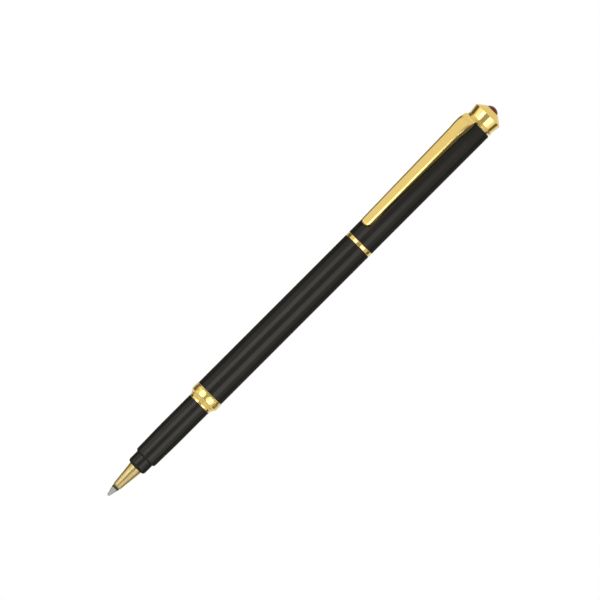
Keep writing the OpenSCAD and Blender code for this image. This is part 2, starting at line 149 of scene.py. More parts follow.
class Slot(Enum):
    """The record's material slots."""

    GOLD_PLATE = "gold_plate"
    GOLD_SATIN = "gold_satin"
    BLACK_LACQUER = "black_lacquer"
    BARE_BRASS = "bare_brass"
    NICKEL_SILVER = "nickel_silver"
    CARBIDE = "carbide"
    SPRING_STEEL = "spring_steel"
    STEM_PLASTIC = "stem_plastic"
    TUBE_PLASTIC = "tube_plastic"
    LINER_PLASTIC = "liner_plastic"
    INK_FIBRE = "ink_fibre"
    JEWEL_RED = "jewel_red"


class Effect(Enum):
    """The shader effects that the finishes share."""

    TURNING = "turning_lines"
    SCRATCHES = "fine_scratches"
    SMUDGES = "smudges"
    DUST = "dust_specks"
    EDGES = "edge_wear"
    PEEL = "lacquer_peel"


# ---- Outlines and meshes ----


class Knot(NamedTuple):
    """A corner of a closed outline.

    Attributes:
        across: Its distance from the axis, or its place across the clip.
        along: Its height, or its place through the clip.
        fillet: The radius that rounds it.
    """

    across: float
    along: float
    fillet: float = 0.0


@dataclass(frozen=True)
class Span:
    """The height range and the outer radius of a frame node.

    Attributes:
        low: The height of its lowest point.
        high: The height of its highest point.
        radius: Its reach across the pen.
    """

    low: float
    high: float
    radius: float

    @classmethod
    def of(cls, node: str) -> "Span":
        """Measures a node.

        Args:
            node: The frame node's name.

        Returns:
            Its lowest and highest point along the pen, and its reach across it.
        """
        lowest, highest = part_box(node)
        return cls(lowest.z / MM, highest.z / MM, highest.x / MM)

    def at(self, share: float) -> float:
        """The height at a share of the way up."""
        return self.low + (self.high - self.low) * share


def ease(value: float, start: float, end: float) -> float:
    """A smooth step from 0 at start to 1 at end."""
    share = min(1.0, max(0.0, (value - start) / (end - start)))
    return share * share * (3 - 2 * share)


def _room(length: float, neighbour: Knot) -> float:
    """How much of an edge a corner's arc may take, given the corner at its far end."""
    return length * (SHARED_EDGE if neighbour.fillet > 0 else WHOLE_EDGE)


def rounded(knots: Sequence[Knot]) -> list[Point]:
    """Rounds the corners of a closed outline.

    Args:
        knots: The corners in order, each with its own fillet.

    Returns:
        The outline's points, with a guard point beside each arc so that the flat
        faces next to it shade flat.
    """
    points: list[Point] = []
    for index, knot in enumerate(knots):
        here = Vector(knot[:2])
        if knot.fillet <= 0:
            points.append(tuple(here))
            continue
        back = Vector(knots[index - 1][:2]) - here
        ahead = Vector(knots[(index + 1) % len(knots)][:2]) - here
        half = back.angle(ahead) / 2
        room = min(
            _room(back.length, knots[index - 1]),
            _room(ahead.length, knots[(index + 1) % len(knots)]),
        )
        reach = min(knot.fillet / math.tan(half), room)
        radius = reach * math.tan(half)
        guard = min(GUARD, GUARD_SHARE * room)
        back.normalize()
        ahead.normalize()
        centre = here + (back + ahead).normalized() * (radius / math.sin(half))
        first = here + back * reach - centre
        last = here + ahead * reach - centre
        sweep = math.pi - 2 * half
        points.append(tuple(here + back * (reach + guard)))
        for step in range(ARC_STEPS + 1):
            share = step / ARC_STEPS
            turned = first * math.sin((1 - share) * sweep) + last * math.sin(share * sweep)
            points.append(tuple(centre + turned / math.sin(sweep)))
        points.append(tuple(here + ahead * (reach + guard)))
    return points


def bridge(
    mesh: bmesh.types.BMesh,
    lower: Sequence[bmesh.types.BMVert],
    upper: Sequence[bmesh.types.BMVert],
) -> None:
    """Joins two closed rings of vertices with faces; a ring of one vertex is a pole.

    Args:
        mesh: The mesh that the faces go into.
        lower: The first ring.
        upper: The second ring.
    """
    count = max(len(lower), len(upper))
    if count == 1:
        return
    for k in range(count):
        n = (k + 1) % count
        if len(lower) == 1:
            mesh.faces.new((lower[0], upper[n], upper[k]))
        elif len(upper) == 1:
            mesh.faces.new((lower[k], lower[n], upper[0]))
        else:
            mesh.faces.new((lower[k], lower[n], upper[n], upper[k]))


def to_object(mesh: bmesh.types.BMesh, name: str) -> bpy.types.Object:
    """Finishes a mesh and puts it in the scene.

    Args:
        mesh: The mesh, which is freed.
        name: The new object's name.

    Returns:
        The object, smooth except over its sharp edges.
    """
    bmesh.ops.recalc_face_normals(mesh, faces=mesh.faces)
    data = bpy.data.meshes.new(name)
    mesh.to_mesh(data)
    mesh.free()
    data.shade_smooth()
    data.set_sharp_from_angle(angle=SHARP_ANGLE)
    made = bpy.data.objects.new(name, data)
    bpy.context.scene.collection.objects.link(made)
    return made


def lathe(
    name: str,
    outline: Sequence[Point],
    relief: Relief | None = None,
    segments: int = SEGMENTS,
) -> bpy.types.Object:
    """Turns a closed outline about the pen's axis.

    Args:
        name: The new object's name.
        outline: Points of (radius, height).
        relief: How far the surface moves out at a radius, height and angle.
        segments: Points in each ring.

    Returns:
        The turned object.
    """
    mesh = bmesh.new()
    rings = []
    for radius, height in outline:
        if radius < POLE:
            rings.append([mesh.verts.new((0.0, 0.0, height * MM))])
            continue
        ring = []
        for k in range(segments):
            angle = TURN * k / segments
            reach = radius + (relief(radius, height, angle) if relief else 0.0)
            place = Vector((reach * math.cos(angle), reach * math.sin(angle), height))
            ring.append(mesh.verts.new(place * MM))
        rings.append(ring)
    for lower, upper in zip(rings, rings[1:] + rings[:1]):
        bridge(mesh, lower, upper)
    return to_object(mesh, name)


def loft(name: str, rings: Sequence[Sequence[Vector]]) -> bpy.types.Object:
    """Skins a row of closed rings of equal length and closes both ends.

    Args:
        name: The new object's name.
        rings: Rings of points in millimetres.

    Returns:
        The lofted object.
    """
    mesh = bmesh.new()
    made = [[mesh.verts.new(point * MM) for point in ring] for ring in rings]
    for lower, upper in zip(made, made[1:]):
        bridge(mesh, lower, upper)
    mesh.faces.new(made[0])
    mesh.faces.new(list(reversed(made[-1])))
    return to_object(mesh, name)


# ---- Shader effects and finishes ----


class Graph:
    """A node tree with short calls to add and join nodes."""

    # Where a Mix node keeps its share and its colours.
    MIX_SHARE = 0
    MIX_FIRST = 6
    MIX_SECOND = 7
    MIX_RESULT = 2

    def __init__(self, tree: bpy.types.NodeTree) -> None:
        """Wraps a tree."""
        self.tree = tree

    def add(self, kind: str, **settings: object) -> bpy.types.Node:
        """Adds a node.

        Args:
            kind: The node's type name.
            **settings: Its properties, such as operation or data_type.

        Returns:
            The new node.
        """
        node = self.tree.nodes.new(kind)
        for key, value in settings.items():
            setattr(node, key, value)
        return node

    def put(self, socket: Socket, value: object) -> None:
        """Joins an output to a socket, or sets the socket's own value.

        Args:
            socket: The input socket.
            value: An output socket, or a number, vector or colour.
        """
        if isinstance(value, Socket):
            self.tree.links.new(value, socket)
        elif isinstance(value, tuple) and len(value) == 3 and socket.type == "RGBA":
            socket.default_value = (*value, 1.0)
        else:
            socket.default_value = value

    def math(self, operation: str, *values: object) -> Socket:
        """Adds a Math node.

        Args:
            operation: What the node does.
            *values: Its inputs, each a number or a socket.

        Returns:
            The socket with the result.
        """
        node = self.add("ShaderNodeMath", operation=operation)
        for socket, value in zip(node.inputs, values):
            self.put(socket, value)
        return node.outputs[0]

    def remap(
        self, value: object, low: float, high: float, out_low: float = 0.0, out_high: float = 1.0
    ) -> Socket:
        """Maps a value smoothly and clamped from one range to another.

        Args:
            value: The number or socket to map.
            low: Where the range that it comes from starts.
            high: Where that range ends.
            out_low: What the start maps to.
            out_high: What the end maps to.

        Returns:
            The socket with the mapped value.
        """
        node = self.add("ShaderNodeMapRange", interpolation_type="SMOOTHSTEP")
        for socket, given in zip(node.inputs, (value, low, high, out_low, out_high)):
            self.put(socket, given)
        return node.outputs[0]

    def noise(
        self, vector: object, scale: float, detail: float = 2.0, one: bool = False
    ) -> Socket:
        """Adds a noise texture.

        Args:
            vector: Where it is read, or in one dimension the value that it runs along.
            scale: How many grains it has to a unit of length.
            detail: How much finer noise it adds.
            one: Whether it runs in one dimension.

        Returns:
            The socket with the noise, from 0 to 1.
        """
        node = self.add("ShaderNodeTexNoise", noise_dimensions="1D" if one else "3D")
        self.put(node.inputs["W" if one else "Vector"], vector)
        node.inputs["Scale"].default_value = scale
        node.inputs["Detail"].default_value = detail
        return node.outputs["Fac"]

    def mix(self, share: object, first: object, second: object) -> Socket:
        """Mixes two colours.

        Args:
            share: How much of the second colour shows, from 0 to 1.
            first: The first colour.
            second: The second colour.

        Returns:
            The socket with the mixed colour.
        """
        node = self.add("ShaderNodeMix", data_type="RGBA")
        self.put(node.inputs[self.MIX_SHARE], share)
        self.put(node.inputs[self.MIX_FIRST], first)
        self.put(node.inputs[self.MIX_SECOND], second)
        return node.outputs[self.MIX_RESULT]


@dataclass
class Effects:
    """Builds each shared shader effect once and hands out uses of it.

    Every effect takes the object's own position in metres and a grain size in metres,
    and gives one value from 0 to 1. The methods that draw them take the group's graph
    and the position in grains, and return the socket with the value.

    Attributes:
        made: Each effect's node group.
    """

    made: dict[Effect, bpy.types.NodeTree] = field(default_factory=dict)

    def build(self) -> None:
        """Builds every effect's node group."""
        builders = {
            Effect.TURNING: self._turning,
            Effect.SCRATCHES: self._scratches,
            Effect.SMUDGES: self._smudges,
            Effect.DUST: self._dust,
            Effect.EDGES: self._edges,
            Effect.PEEL: self._peel,
        }
        for effect, draw in builders.items():
            group = bpy.data.node_groups.new(effect.value, "ShaderNodeTree")
            face = group.interface
            face.new_socket("Position", in_out="INPUT", socket_type="NodeSocketVector")
            face.new_socket("Grain", in_out="INPUT", socket_type="NodeSocketFloat")
            face.new_socket("Value", in_out="OUTPUT", socket_type="NodeSocketFloat")
            graph = Graph(group)
            given = graph.add("NodeGroupInput")
            result = graph.add("NodeGroupOutput")
            position = graph.add("ShaderNodeVectorMath", operation="SCALE")
            graph.put(position.inputs[0], given.outputs["Position"])
            graph.put(position.inputs["Scale"], graph.math("DIVIDE", 1.0, given.outputs["Grain"]))
            graph.put(result.inputs["Value"], draw(graph, position.outputs[0]))
            self.made[effect] = group

    def use(self, graph: Graph, effect: Effect, position: Socket, grain: float) -> Socket:
        """Adds an effect to a material.

        Args:
            graph: The material's graph.
            effect: The effect wanted.
            position: The socket that gives the position.
            grain: The effect's grain size in metres.

        Returns:
            The socket with the effect's value.
        """
        node = graph.add("ShaderNodeGroup", node_tree=self.made[effect])
        graph.put(node.inputs["Position"], position)
        node.inputs["Grain"].default_value = grain
        return node.outputs["Value"]

    @staticmethod
    def _turning(graph: Graph, position: Socket) -> Socket:
        """Fine rings round the axis, as a lathe or a polishing wheel leaves."""
        parts = graph.add("ShaderNodeSeparateXYZ")
        graph.put(parts.inputs[0], position)
        return graph.noise(parts.outputs["Z"], 1.0, 4.0, one=True)

    @staticmethod
    def _scratches(graph: Graph, position: Socket) -> Socket:
        """Hair-fine scratches in two directions."""
        lines = []
        for spin, stretch in ((0.5, (1.0, 1.0, 0.06)), (-0.9, (0.08, 0.08, 1.0))):
            mapping = graph.add("ShaderNodeMapping")
            graph.put(mapping.inputs["Vector"], position)
            mapping.inputs["Rotation"].default_value = (spin, 0.4 * spin, 0.3)
            mapping.inputs["Scale"].default_value = stretch
            lines.append(graph.remap(graph.noise(mapping.outputs[0], 1.0), 0.66, 0.72))
        return graph.math("MAXIMUM", *lines)

    @staticmethod
    def _smudges(graph: Graph, position: Socket) -> Socket:
        """Soft handling marks with broken edges."""
        return graph.remap(graph.noise(position, 1.0, 5.0), 0.42, 0.7)

    @staticmethod
    def _dust(graph: Graph, position: Socket) -> Socket:
        """A few small specks."""
        cells = graph.add("ShaderNodeTexVoronoi")
        graph.put(cells.inputs["Vector"], position)
        cells.inputs["Scale"].default_value = 1.0
        speck = graph.remap(cells.outputs["Distance"], 0.04, 0.1, 1.0, 0.0)
        tone = graph.add("ShaderNodeSeparateColor")
        graph.put(tone.inputs[0], cells.outputs["Color"])
        chosen = graph.math("GREATER_THAN", tone.outputs[0], 0.72)
        return graph.math("MULTIPLY", speck, chosen)

    @staticmethod
    def _edges(graph: Graph, position: Socket) -> Socket:
        """Outer edges, broken up by noise."""
        geometry = graph.add("ShaderNodeNewGeometry")
        edge = graph.remap(geometry.outputs["Pointiness"], 0.53, 0.6)
        broken = graph.remap(graph.noise(position, 1.0, 4.0), 0.4, 0.6)
        return graph.math("MULTIPLY", edge, broken)

    @staticmethod
    def _peel(graph: Graph, position: Socket) -> Socket:
        """The faint waviness of a sprayed and polished coat."""
        return graph.noise(position, 1.0, 1.0)


@dataclass(frozen=True)
class Bench:
    """What a finish works on: a material's graph and shader, with the shared effects.

    Attributes:
        graph: The material's graph.
        shader: Its Principled shader.
        effects: The shared shader effects.
        position: The socket with the object's own position.
    """

    graph: Graph
    shader: bpy.types.Node
    effects: Effects
    position: Socket

    def effect(self, effect: Effect, grain: float) -> Socket:
        """Adds a shared effect, with its grain in metres."""
        return self.effects.use(self.graph, effect, self.position, grain)

    def lay(self, name: str, value: object) -> None:
        """Joins a value to an input of the shader, or sets it there."""
        self.graph.put(self.shader.inputs[name], value)

    def facing(self, blend: float) -> Socket:
        """How far the surface turns from the eye, from 0 to 1."""
        node = self.graph.add("ShaderNodeLayerWeight")
        node.inputs["Blend"].default_value = blend
        return node.outputs["Facing"]

    def bump(self, height: Socket, distance: float) -> Socket:
        """Turns a height into a normal.

        Args:
            height: The socket with the height, from 0 to 1.
            distance: How deep it is, in metres.

        Returns:
            The socket with the normal.
        """
        node = self.graph.add("ShaderNodeBump")
        self.graph.put(node.inputs["Height"], height)
        node.inputs["Distance"].default_value = distance
        return node.outputs["Normal"]


@dataclass(frozen=True)
class Finish:
    """A surface finish, from which its material is built.

    Attributes:
        slot: The record's slot that it belongs to.
        tint: Its main colour.
        shade: The colour that it varies towards in smudges, strands and veins, and in the cabochon
            the painted shade towards its rim.
        roughness: The roughness of the clean surface.
        grain: The size of its main texture, in metres.
        relief: The height of that texture, in metres.
    """

    slot: Slot
    tint: Colour
    shade: Colour
    roughness: float
    grain: float
    relief: float

    def material(self, effects: Effects) -> bpy.types.Material:
        """Builds the material.

        Args:
            effects: The shared shader effects.

        Returns:
            The new material, named after the slot.
        """
        made = bpy.data.materials.new(self.slot.value)
        made.use_nodes = True
        made.diffuse_color = (*self.tint, 1.0)
        graph = Graph(made.node_tree)
        shader = made.node_tree.nodes["Principled BSDF"]
        position = graph.add("ShaderNodeTexCoord").outputs["Object"]
        self.dress(Bench(graph, shader, effects, position))
        return made

    def dress(self, bench: Bench) -> None:
        """Sets the shader's colour, roughness and normal.

        Args:
            bench: The material in the making.
        """
        raise NotImplementedError


@dataclass(frozen=True)
class Metal(Finish):
    """Turned or plated metal, with lathe lines, hairline scratches and smudges.

    Attributes:
        scratch: How much rougher a scratch is.
        smudge: How much rougher a smudge is.
        scratch_grain: The size of the scratches, in metres.
        smudge_grain: The size of the smudges, in metres.
        wear_grain: The size of the worn patches on its edges, in metres.
        smudge_tone: How much of the shade a smudge shows.
        wear_tone: How much of the worn colour an edge shows.
        worn: The colour of a worn edge.
    """

    scratch: float = 0.08
    smudge: float = 0.06
    scratch_grain: float = 0.00035
    smudge_grain: float = 0.006
    wear_grain: float = 0.0006
    smudge_tone: float = 0.5
    wear_tone: float = 0.25
    worn: Colour = (0.97, 0.93, 0.8)

    def dress(self, bench: Bench) -> None:
        """Sets the shader's colour, roughness and normal.

        Args:
            bench: The material in the making.
        """
        graph = bench.graph
        lines = bench.effect(Effect.TURNING, self.grain)
        marks = bench.effect(Effect.SCRATCHES, self.scratch_grain)
        smears = bench.effect(Effect.SMUDGES, self.smudge_grain)
        wear = bench.effect(Effect.EDGES, self.wear_grain)
        tone = graph.mix(graph.math("MULTIPLY", smears, self.smudge_tone), self.tint, self.shade)
        tone = graph.mix(graph.math("MULTIPLY", wear, self.wear_tone), tone, self.worn)
        rough = graph.math("MULTIPLY_ADD", marks, self.scratch, self.roughness)
        rough = graph.math("MULTIPLY_ADD", smears, self.smudge, rough)
        bench.lay("Metallic", 1.0)
        bench.lay("Base Color", tone)
        bench.lay("Roughness", rough)
        bench.lay("Normal", bench.bump(lines, self.relief))


@dataclass(frozen=True)
class Lacquer(Finish):
    """A dark sprayed coat with a clear gloss over it, dull where it turns away.

    Attributes:
        coat: The gloss where the surface faces the eye.
        side_coat: The gloss where it turns away.
        turning: How far the surface turns from the eye where the gloss starts and stops fading.
        coat_roughness: The roughness of the gloss.
        scratch: How much rougher a scratch is.
        smudge: How much rougher a smudge is.
        scratch_grain: The size of the scratches, in metres.
        smudge_grain: The size of the smudges, in metres.
        dust_grain: The distance between specks of dust, in metres.
        dust_tone: How much of the dust's colour a speck shows.
        dust: The colour of dust.
    """

    coat: float = 0.44
    side_coat: float = 0.1
    turning: Point = (0.22, 0.42)
    coat_roughness: float = 0.2
    scratch: float = 0.05
    smudge: float = 0.05
    scratch_grain: float = 0.0006
    smudge_grain: float = 0.009
    dust_grain: float = 0.0016
    dust_tone: float = 0.12
    dust: Colour = (0.3, 0.29, 0.27)

    def dress(self, bench: Bench) -> None:
        """Sets the shader's colour, roughness, coat and normal.

        Args:
            bench: The material in the making.
        """
        graph = bench.graph
        waves = bench.effect(Effect.PEEL, self.grain)
        marks = bench.effect(Effect.SCRATCHES, self.scratch_grain)
        smears = bench.effect(Effect.SMUDGES, self.smudge_grain)
        specks = bench.effect(Effect.DUST, self.dust_grain)
        tone = graph.mix(smears, self.tint, self.shade)
        tone = graph.mix(graph.math("MULTIPLY", specks, self.dust_tone), tone, self.dust)
        rough = graph.math("MULTIPLY_ADD", smears, self.smudge, self.roughness)
        rough = graph.math("MULTIPLY_ADD", marks, self.scratch, rough)
        normal = bench.bump(waves, self.relief)
        gloss = graph.remap(bench.facing(0.5), *self.turning, self.coat, self.side_coat)
        bench.lay("Coat Weight", gloss)
        bench.lay("Coat Roughness", self.coat_roughness)
        bench.lay("Specular IOR Level", 0.0)
        bench.lay("Base Color", tone)
        bench.lay("Roughness", rough)
        bench.lay("Normal", normal)
        bench.lay("Coat Normal", normal)


@dataclass(frozen=True)
class Plastic(Finish):
    """Moulded plastic with a fine texture.

    Attributes:
        smudge: How much rougher a smudge is.
        smudge_grain: The size of the smudges, in metres.
    """

    smudge: float = 0.08
    smudge_grain: float = 0.004

    def dress(self, bench: Bench) -> None:
        """Sets the shader's colour, roughness and normal.

        Args:
            bench: The material in the making.
        """
        graph = bench.graph
        waves = bench.effect(Effect.PEEL, self.grain)
        smears = bench.effect(Effect.SMUDGES, self.smudge_grain)
        bench.lay("Base Color", graph.mix(smears, self.tint, self.shade))
        bench.lay("Roughness", graph.math("MULTIPLY_ADD", smears, self.smudge, self.roughness))
        bench.lay("Normal", bench.bump(waves, self.relief))


@dataclass(frozen=True)
class Fibre(Finish):
    """Bundled fibre that runs along the pen.

    Attributes:
        squeeze: The texture's scale along the pen; below 1 it draws the strands out.
        spread: How much the roughness varies.
    """

    squeeze: float = 0.04
    spread: float = 0.1

    def dress(self, bench: Bench) -> None:
        """Sets the shader's colour, roughness and normal.

        Args:
            bench: The material in the making.
        """
        graph = bench.graph
        mapping = graph.add("ShaderNodeMapping")
        graph.put(mapping.inputs["Vector"], bench.position)
        mapping.inputs["Scale"].default_value = (1.0, 1.0, self.squeeze)
        strands = bench.effects.use(graph, Effect.PEEL, mapping.outputs[0], self.grain)
        bench.lay("Base Color", graph.mix(strands, self.tint, self.shade))
        bench.lay("Roughness", graph.math("MULTIPLY_ADD", strands, self.spread, self.roughness))
        bench.lay("Normal", bench.bump(strands, self.relief))


@dataclass(frozen=True)
class Cabochon(Finish):
    """A polished stone, red where it faces the eye, with painted shade that darkens its colour
    towards its rim.

    Attributes:
        coat: The polish over the stone.
        coat_roughness: The roughness of the polish.
        specular: The stone's own reflection under the polish.
        veins: How much the veins darken it.
        spread: How much rougher a vein is.
    """

    coat: float = 0.5
    coat_roughness: float = 0.04
    specular: float = 0.1
    veins: float = 0.2
    spread: float = 0.04

    def dress(self, bench: Bench) -> None:
        """Sets the shader's colour, roughness, coat and normal.

        Args:
            bench: The material in the making.
        """
        graph = bench.graph
        facing = bench.facing(0.35)
        veins = bench.effect(Effect.SMUDGES, self.grain)
        # Painted shade: the colour goes from the tint to the shade as the surface turns from the
        # eye, so it is darker towards the rim, with the veins on top.
        painted_rim_shade_and_veins = graph.math("MULTIPLY_ADD", veins, self.veins, facing)
        waves = bench.effect(Effect.PEEL, self.grain)
        bench.lay("Coat Weight", self.coat)
        bench.lay("Coat Roughness", self.coat_roughness)
        bench.lay("Specular IOR Level", self.specular)
        # The base colour carries the painted rim shade and the veins.
        bench.lay("Base Color", graph.mix(painted_rim_shade_and_veins, self.tint, self.shade))
        bench.lay("Roughness", graph.math("MULTIPLY_ADD", veins, self.spread, self.roughness))
        bench.lay("Normal", bench.bump(waves, self.relief))


FINISHES: tuple[Finish, ...] = (
    Metal(Slot.GOLD_PLATE, (0.95, 0.74, 0.28), (0.93, 0.7, 0.24), 0.1, 0.00009, 1.5e-7),
    Metal(Slot.GOLD_SATIN, (0.66, 0.53, 0.25), (0.6, 0.47, 0.2), 0.27, 0.00012, 1.5e-6),
    Lacquer(Slot.BLACK_LACQUER, (0.0185, 0.018, 0.0168), (0.022, 0.0215, 0.02), 0.5, 0.0012, 4e-7),
    Metal(Slot.BARE_BRASS, (0.78, 0.6, 0.3), (0.6, 0.44, 0.2), 0.26, 0.0001, 1.5e-6),
    Metal(Slot.NICKEL_SILVER, (0.6, 0.6, 0.64), (0.5, 0.5, 0.54), 0.11, 0.00008, 6e-7),
    Metal(Slot.CARBIDE, (0.5, 0.5, 0.52), (0.42, 0.42, 0.44), 0.08, 0.00004, 5e-8),
    Metal(Slot.SPRING_STEEL, (0.6, 0.6, 0.6), (0.5, 0.49, 0.47), 0.24, 0.00006, 6e-7),
    Plastic(Slot.STEM_PLASTIC, (0.02, 0.02, 0.022), (0.027, 0.027, 0.029), 0.35, 0.0002, 1e-6),
    Plastic(Slot.TUBE_PLASTIC, (0.8, 0.8, 0.78), (0.74, 0.74, 0.7), 0.45, 0.0003, 1e-6),
    Plastic(Slot.LINER_PLASTIC, (0.06, 0.06, 0.065), (0.08, 0.08, 0.085), 0.5, 0.0003, 1e-6),
    Fibre(Slot.INK_FIBRE, (0.03, 0.04, 0.12), (0.1, 0.11, 0.2), 0.8, 0.00005, 1.5e-5),
    Cabochon(Slot.JEWEL_RED, (0.2, 0.012, 0.006), (0.03, 0.002, 0.002), 0.12, 0.0012, 1e-6),
)


@dataclass
class Paintbox:
    """The materials, one for each of the record's slots.

    Attributes:
        effects: The shared shader effects.
        materials: The material of each slot.
    """

    effects: Effects
    materials: dict[Slot, bpy.types.Material] = field(default_factory=dict)

    def build(self) -> None:
        """Builds every material."""
        for finish in FINISHES:
            self.materials[finish.slot] = finish.material(self.effects)

    def coat(self, piece: bpy.types.Object, slot: Slot) -> None:
        """Gives a piece its only material."""
        piece.data.materials.clear()
        piece.data.materials.append(self.materials[slot])

    def coat_frame(self, frame: dict) -> None:
        """Gives each frame node the material of the slot that the record names for it."""
        for subpart in frame["record"]["subparts"]:
            self.coat(frame["nodes"][subpart["node"]], Slot(subpart["material_slot"]))


@dataclass
class Assembly:
    """A sub-assembly of the pen: its pieces are built, then dressed.

    Attributes:
        paintbox: The materials.
        pieces: The pieces made so far.
    """

    paintbox: Paintbox
    pieces: list[bpy.types.Object] = field(default_factory=list)

    def fit(self, piece: bpy.types.Object, body: Body, slot: Slot, *nodes: str) -> None:
        """Mounts a piece on its body.

        Args:
            piece: The piece, already in place.
            body: The body that it moves with.
            slot: The finish that it takes.
            *nodes: The frame nodes that it stands for.
        """
        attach(piece, body.value)
        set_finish(piece, slot.value)
        if nodes:
            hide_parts(*nodes)
        self.pieces.append(piece)

    def build(self) -> None:
        """Makes the pieces."""
        raise NotImplementedError

    def dress(self) -> None:
        """Gives each piece the material of its slot."""
        for piece in self.pieces:
            self.paintbox.coat(piece, Slot(piece["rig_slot"]))


# ---- Refill ----


@dataclass
class Refill(Assembly):
    """The writing point with its ball, the stem behind it and the spring at the rear.

    Attributes:
        lip: The width of the rolled lip round the ball.
        bore: The radius of the ball's seat.
        root: The radius of the metal cone where it leaves the stem.
        feed: The radius of the ink's passage.
        fine: Points round the metal point and the stem.
        spring_turns: The spring's turns, the closed ones at its ends included.
        wire: The thickness of the spring's wire.
        travel: How far the refill gives against the spring; not used.
    """

    lip: float = 0.07
    bore: float = 0.36
    root: float = 1.05
    feed: float = 0.4
    fine: int = 64
    spring_turns: int = 6
    wire: float = 0.4
    travel: float = 0.5

    def build(self) -> None:
        """Makes the visible pieces of the refill and its spring."""
        self._ball()
        self._point()
        self._stem()
        self._spring()

    def _ball(self) -> None:
        """The rolling ball."""
        ball = Span.of("ball")
        steps = 24
        turns = [math.pi * k / steps for k in range(steps + 1)]
        outline = [(ball.radius * math.sin(a), ball.at(0.5 - 0.5 * math.cos(a))) for a in turns]
        self.fit(lathe("ball_turned", outline, segments=48), Body.BALL, Slot.CARBIDE, "ball")

    def _point(self) -> None:
        """The metal point: a rolled lip, a cone, a shoulder and a shank."""
        point, ball, stem = Span.of("point"), Span.of("ball"), Span.of("stem")
        centre = ball.at(0.5)
        turns = [math.radians(a) for a in range(60, -21, -10)]
        seat = [(self.bore * math.cos(a), centre + self.bore * math.sin(a)) for a in turns]
        lip_r = self.bore + self.lip
        body = rounded([
            Knot(0.38 * self.bore, centre + 0.92 * self.bore),
            Knot(lip_r - 0.02, point.low, 0.02),
            Knot(lip_r + 0.03, point.low + 0.25, 0.05),
            Knot(self.root, stem.low, 0.02),
            Knot(0.65, stem.low),
            Knot(0.65, point.high, 0.1),
            Knot(self.feed, point.high),
            Knot(self.feed, stem.low),
        ])
        outline = seat[::-1][:-1] + body[1:]
        piece = lathe("point_turned", outline, segments=self.fine)
        self.fit(piece, Body.REFILL, Slot.NICKEL_SILVER, "point")

    def _stem(self) -> None:
        """The black stem, ringed where it leaves the nose cone."""
        stem, collar = Span.of("stem"), Span.of("nose_collar")
        tube = Span.of("ink_tube")
        neck_start = collar.low + 3.13
        flange = collar.high
        outline = rounded([
            Knot(0.66, stem.low),
            Knot(1.1, stem.low, 0.08),
            Knot(1.1, neck_start),
            Knot(1.6, neck_start, 0.1),
            Knot(1.6, flange),
            Knot(stem.radius, flange, 0.1),
            Knot(stem.radius, tube.low),
            Knot(2.59, tube.low),
            Knot(2.59, stem.high, 0.2),
            Knot(self.feed, stem.high),
            Knot(self.feed, stem.low + 3.5),
            Knot(0.66, stem.low + 3.5),
        ])
        piece = lathe("stem_moulded", outline, segments=self.fine)
        self.fit(piece, Body.REFILL, Slot.STEM_PLASTIC, "stem")

    def _spring(self) -> None:
        """The spring behind the refill, with a closed turn at each end."""
        spring = Span.of("refill_spring")
        working = self.spring_turns - 2
        radius = spring.radius - self.wire / 2
        rise = spring.high - spring.low - 3 * self.wire
        steps, sides = 36, 12
        round_wire = [TURN * k / sides for k in range(sides)]
        rings = []
        for i in range(self.spring_turns * steps + 1):
            turn = i / steps
            worked = min(max(turn - 1, 0), working)
            closed = 0.5 + min(turn, 1) + max(turn - working - 1, 0)
            height = spring.low + self.wire * closed + rise * worked / working
            out = Vector((math.cos(TURN * turn), math.sin(TURN * turn), 0.0))
            middle = out * radius + Vector((0, 0, height))
            rings.append([
                middle + (out * math.cos(a) + Vector((0, 0, math.sin(a)))) * self.wire / 2
                for a in round_wire
            ])
        coil = loft("spring_wire", rings)
        self.fit(coil, Body.BARREL, Slot.SPRING_STEEL, "refill_spring")
        seat = (0, 0, Span.of("barrel_tail").high * MM - TAIL_WALL * MM)
        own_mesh(coil)


# ---- Section ----


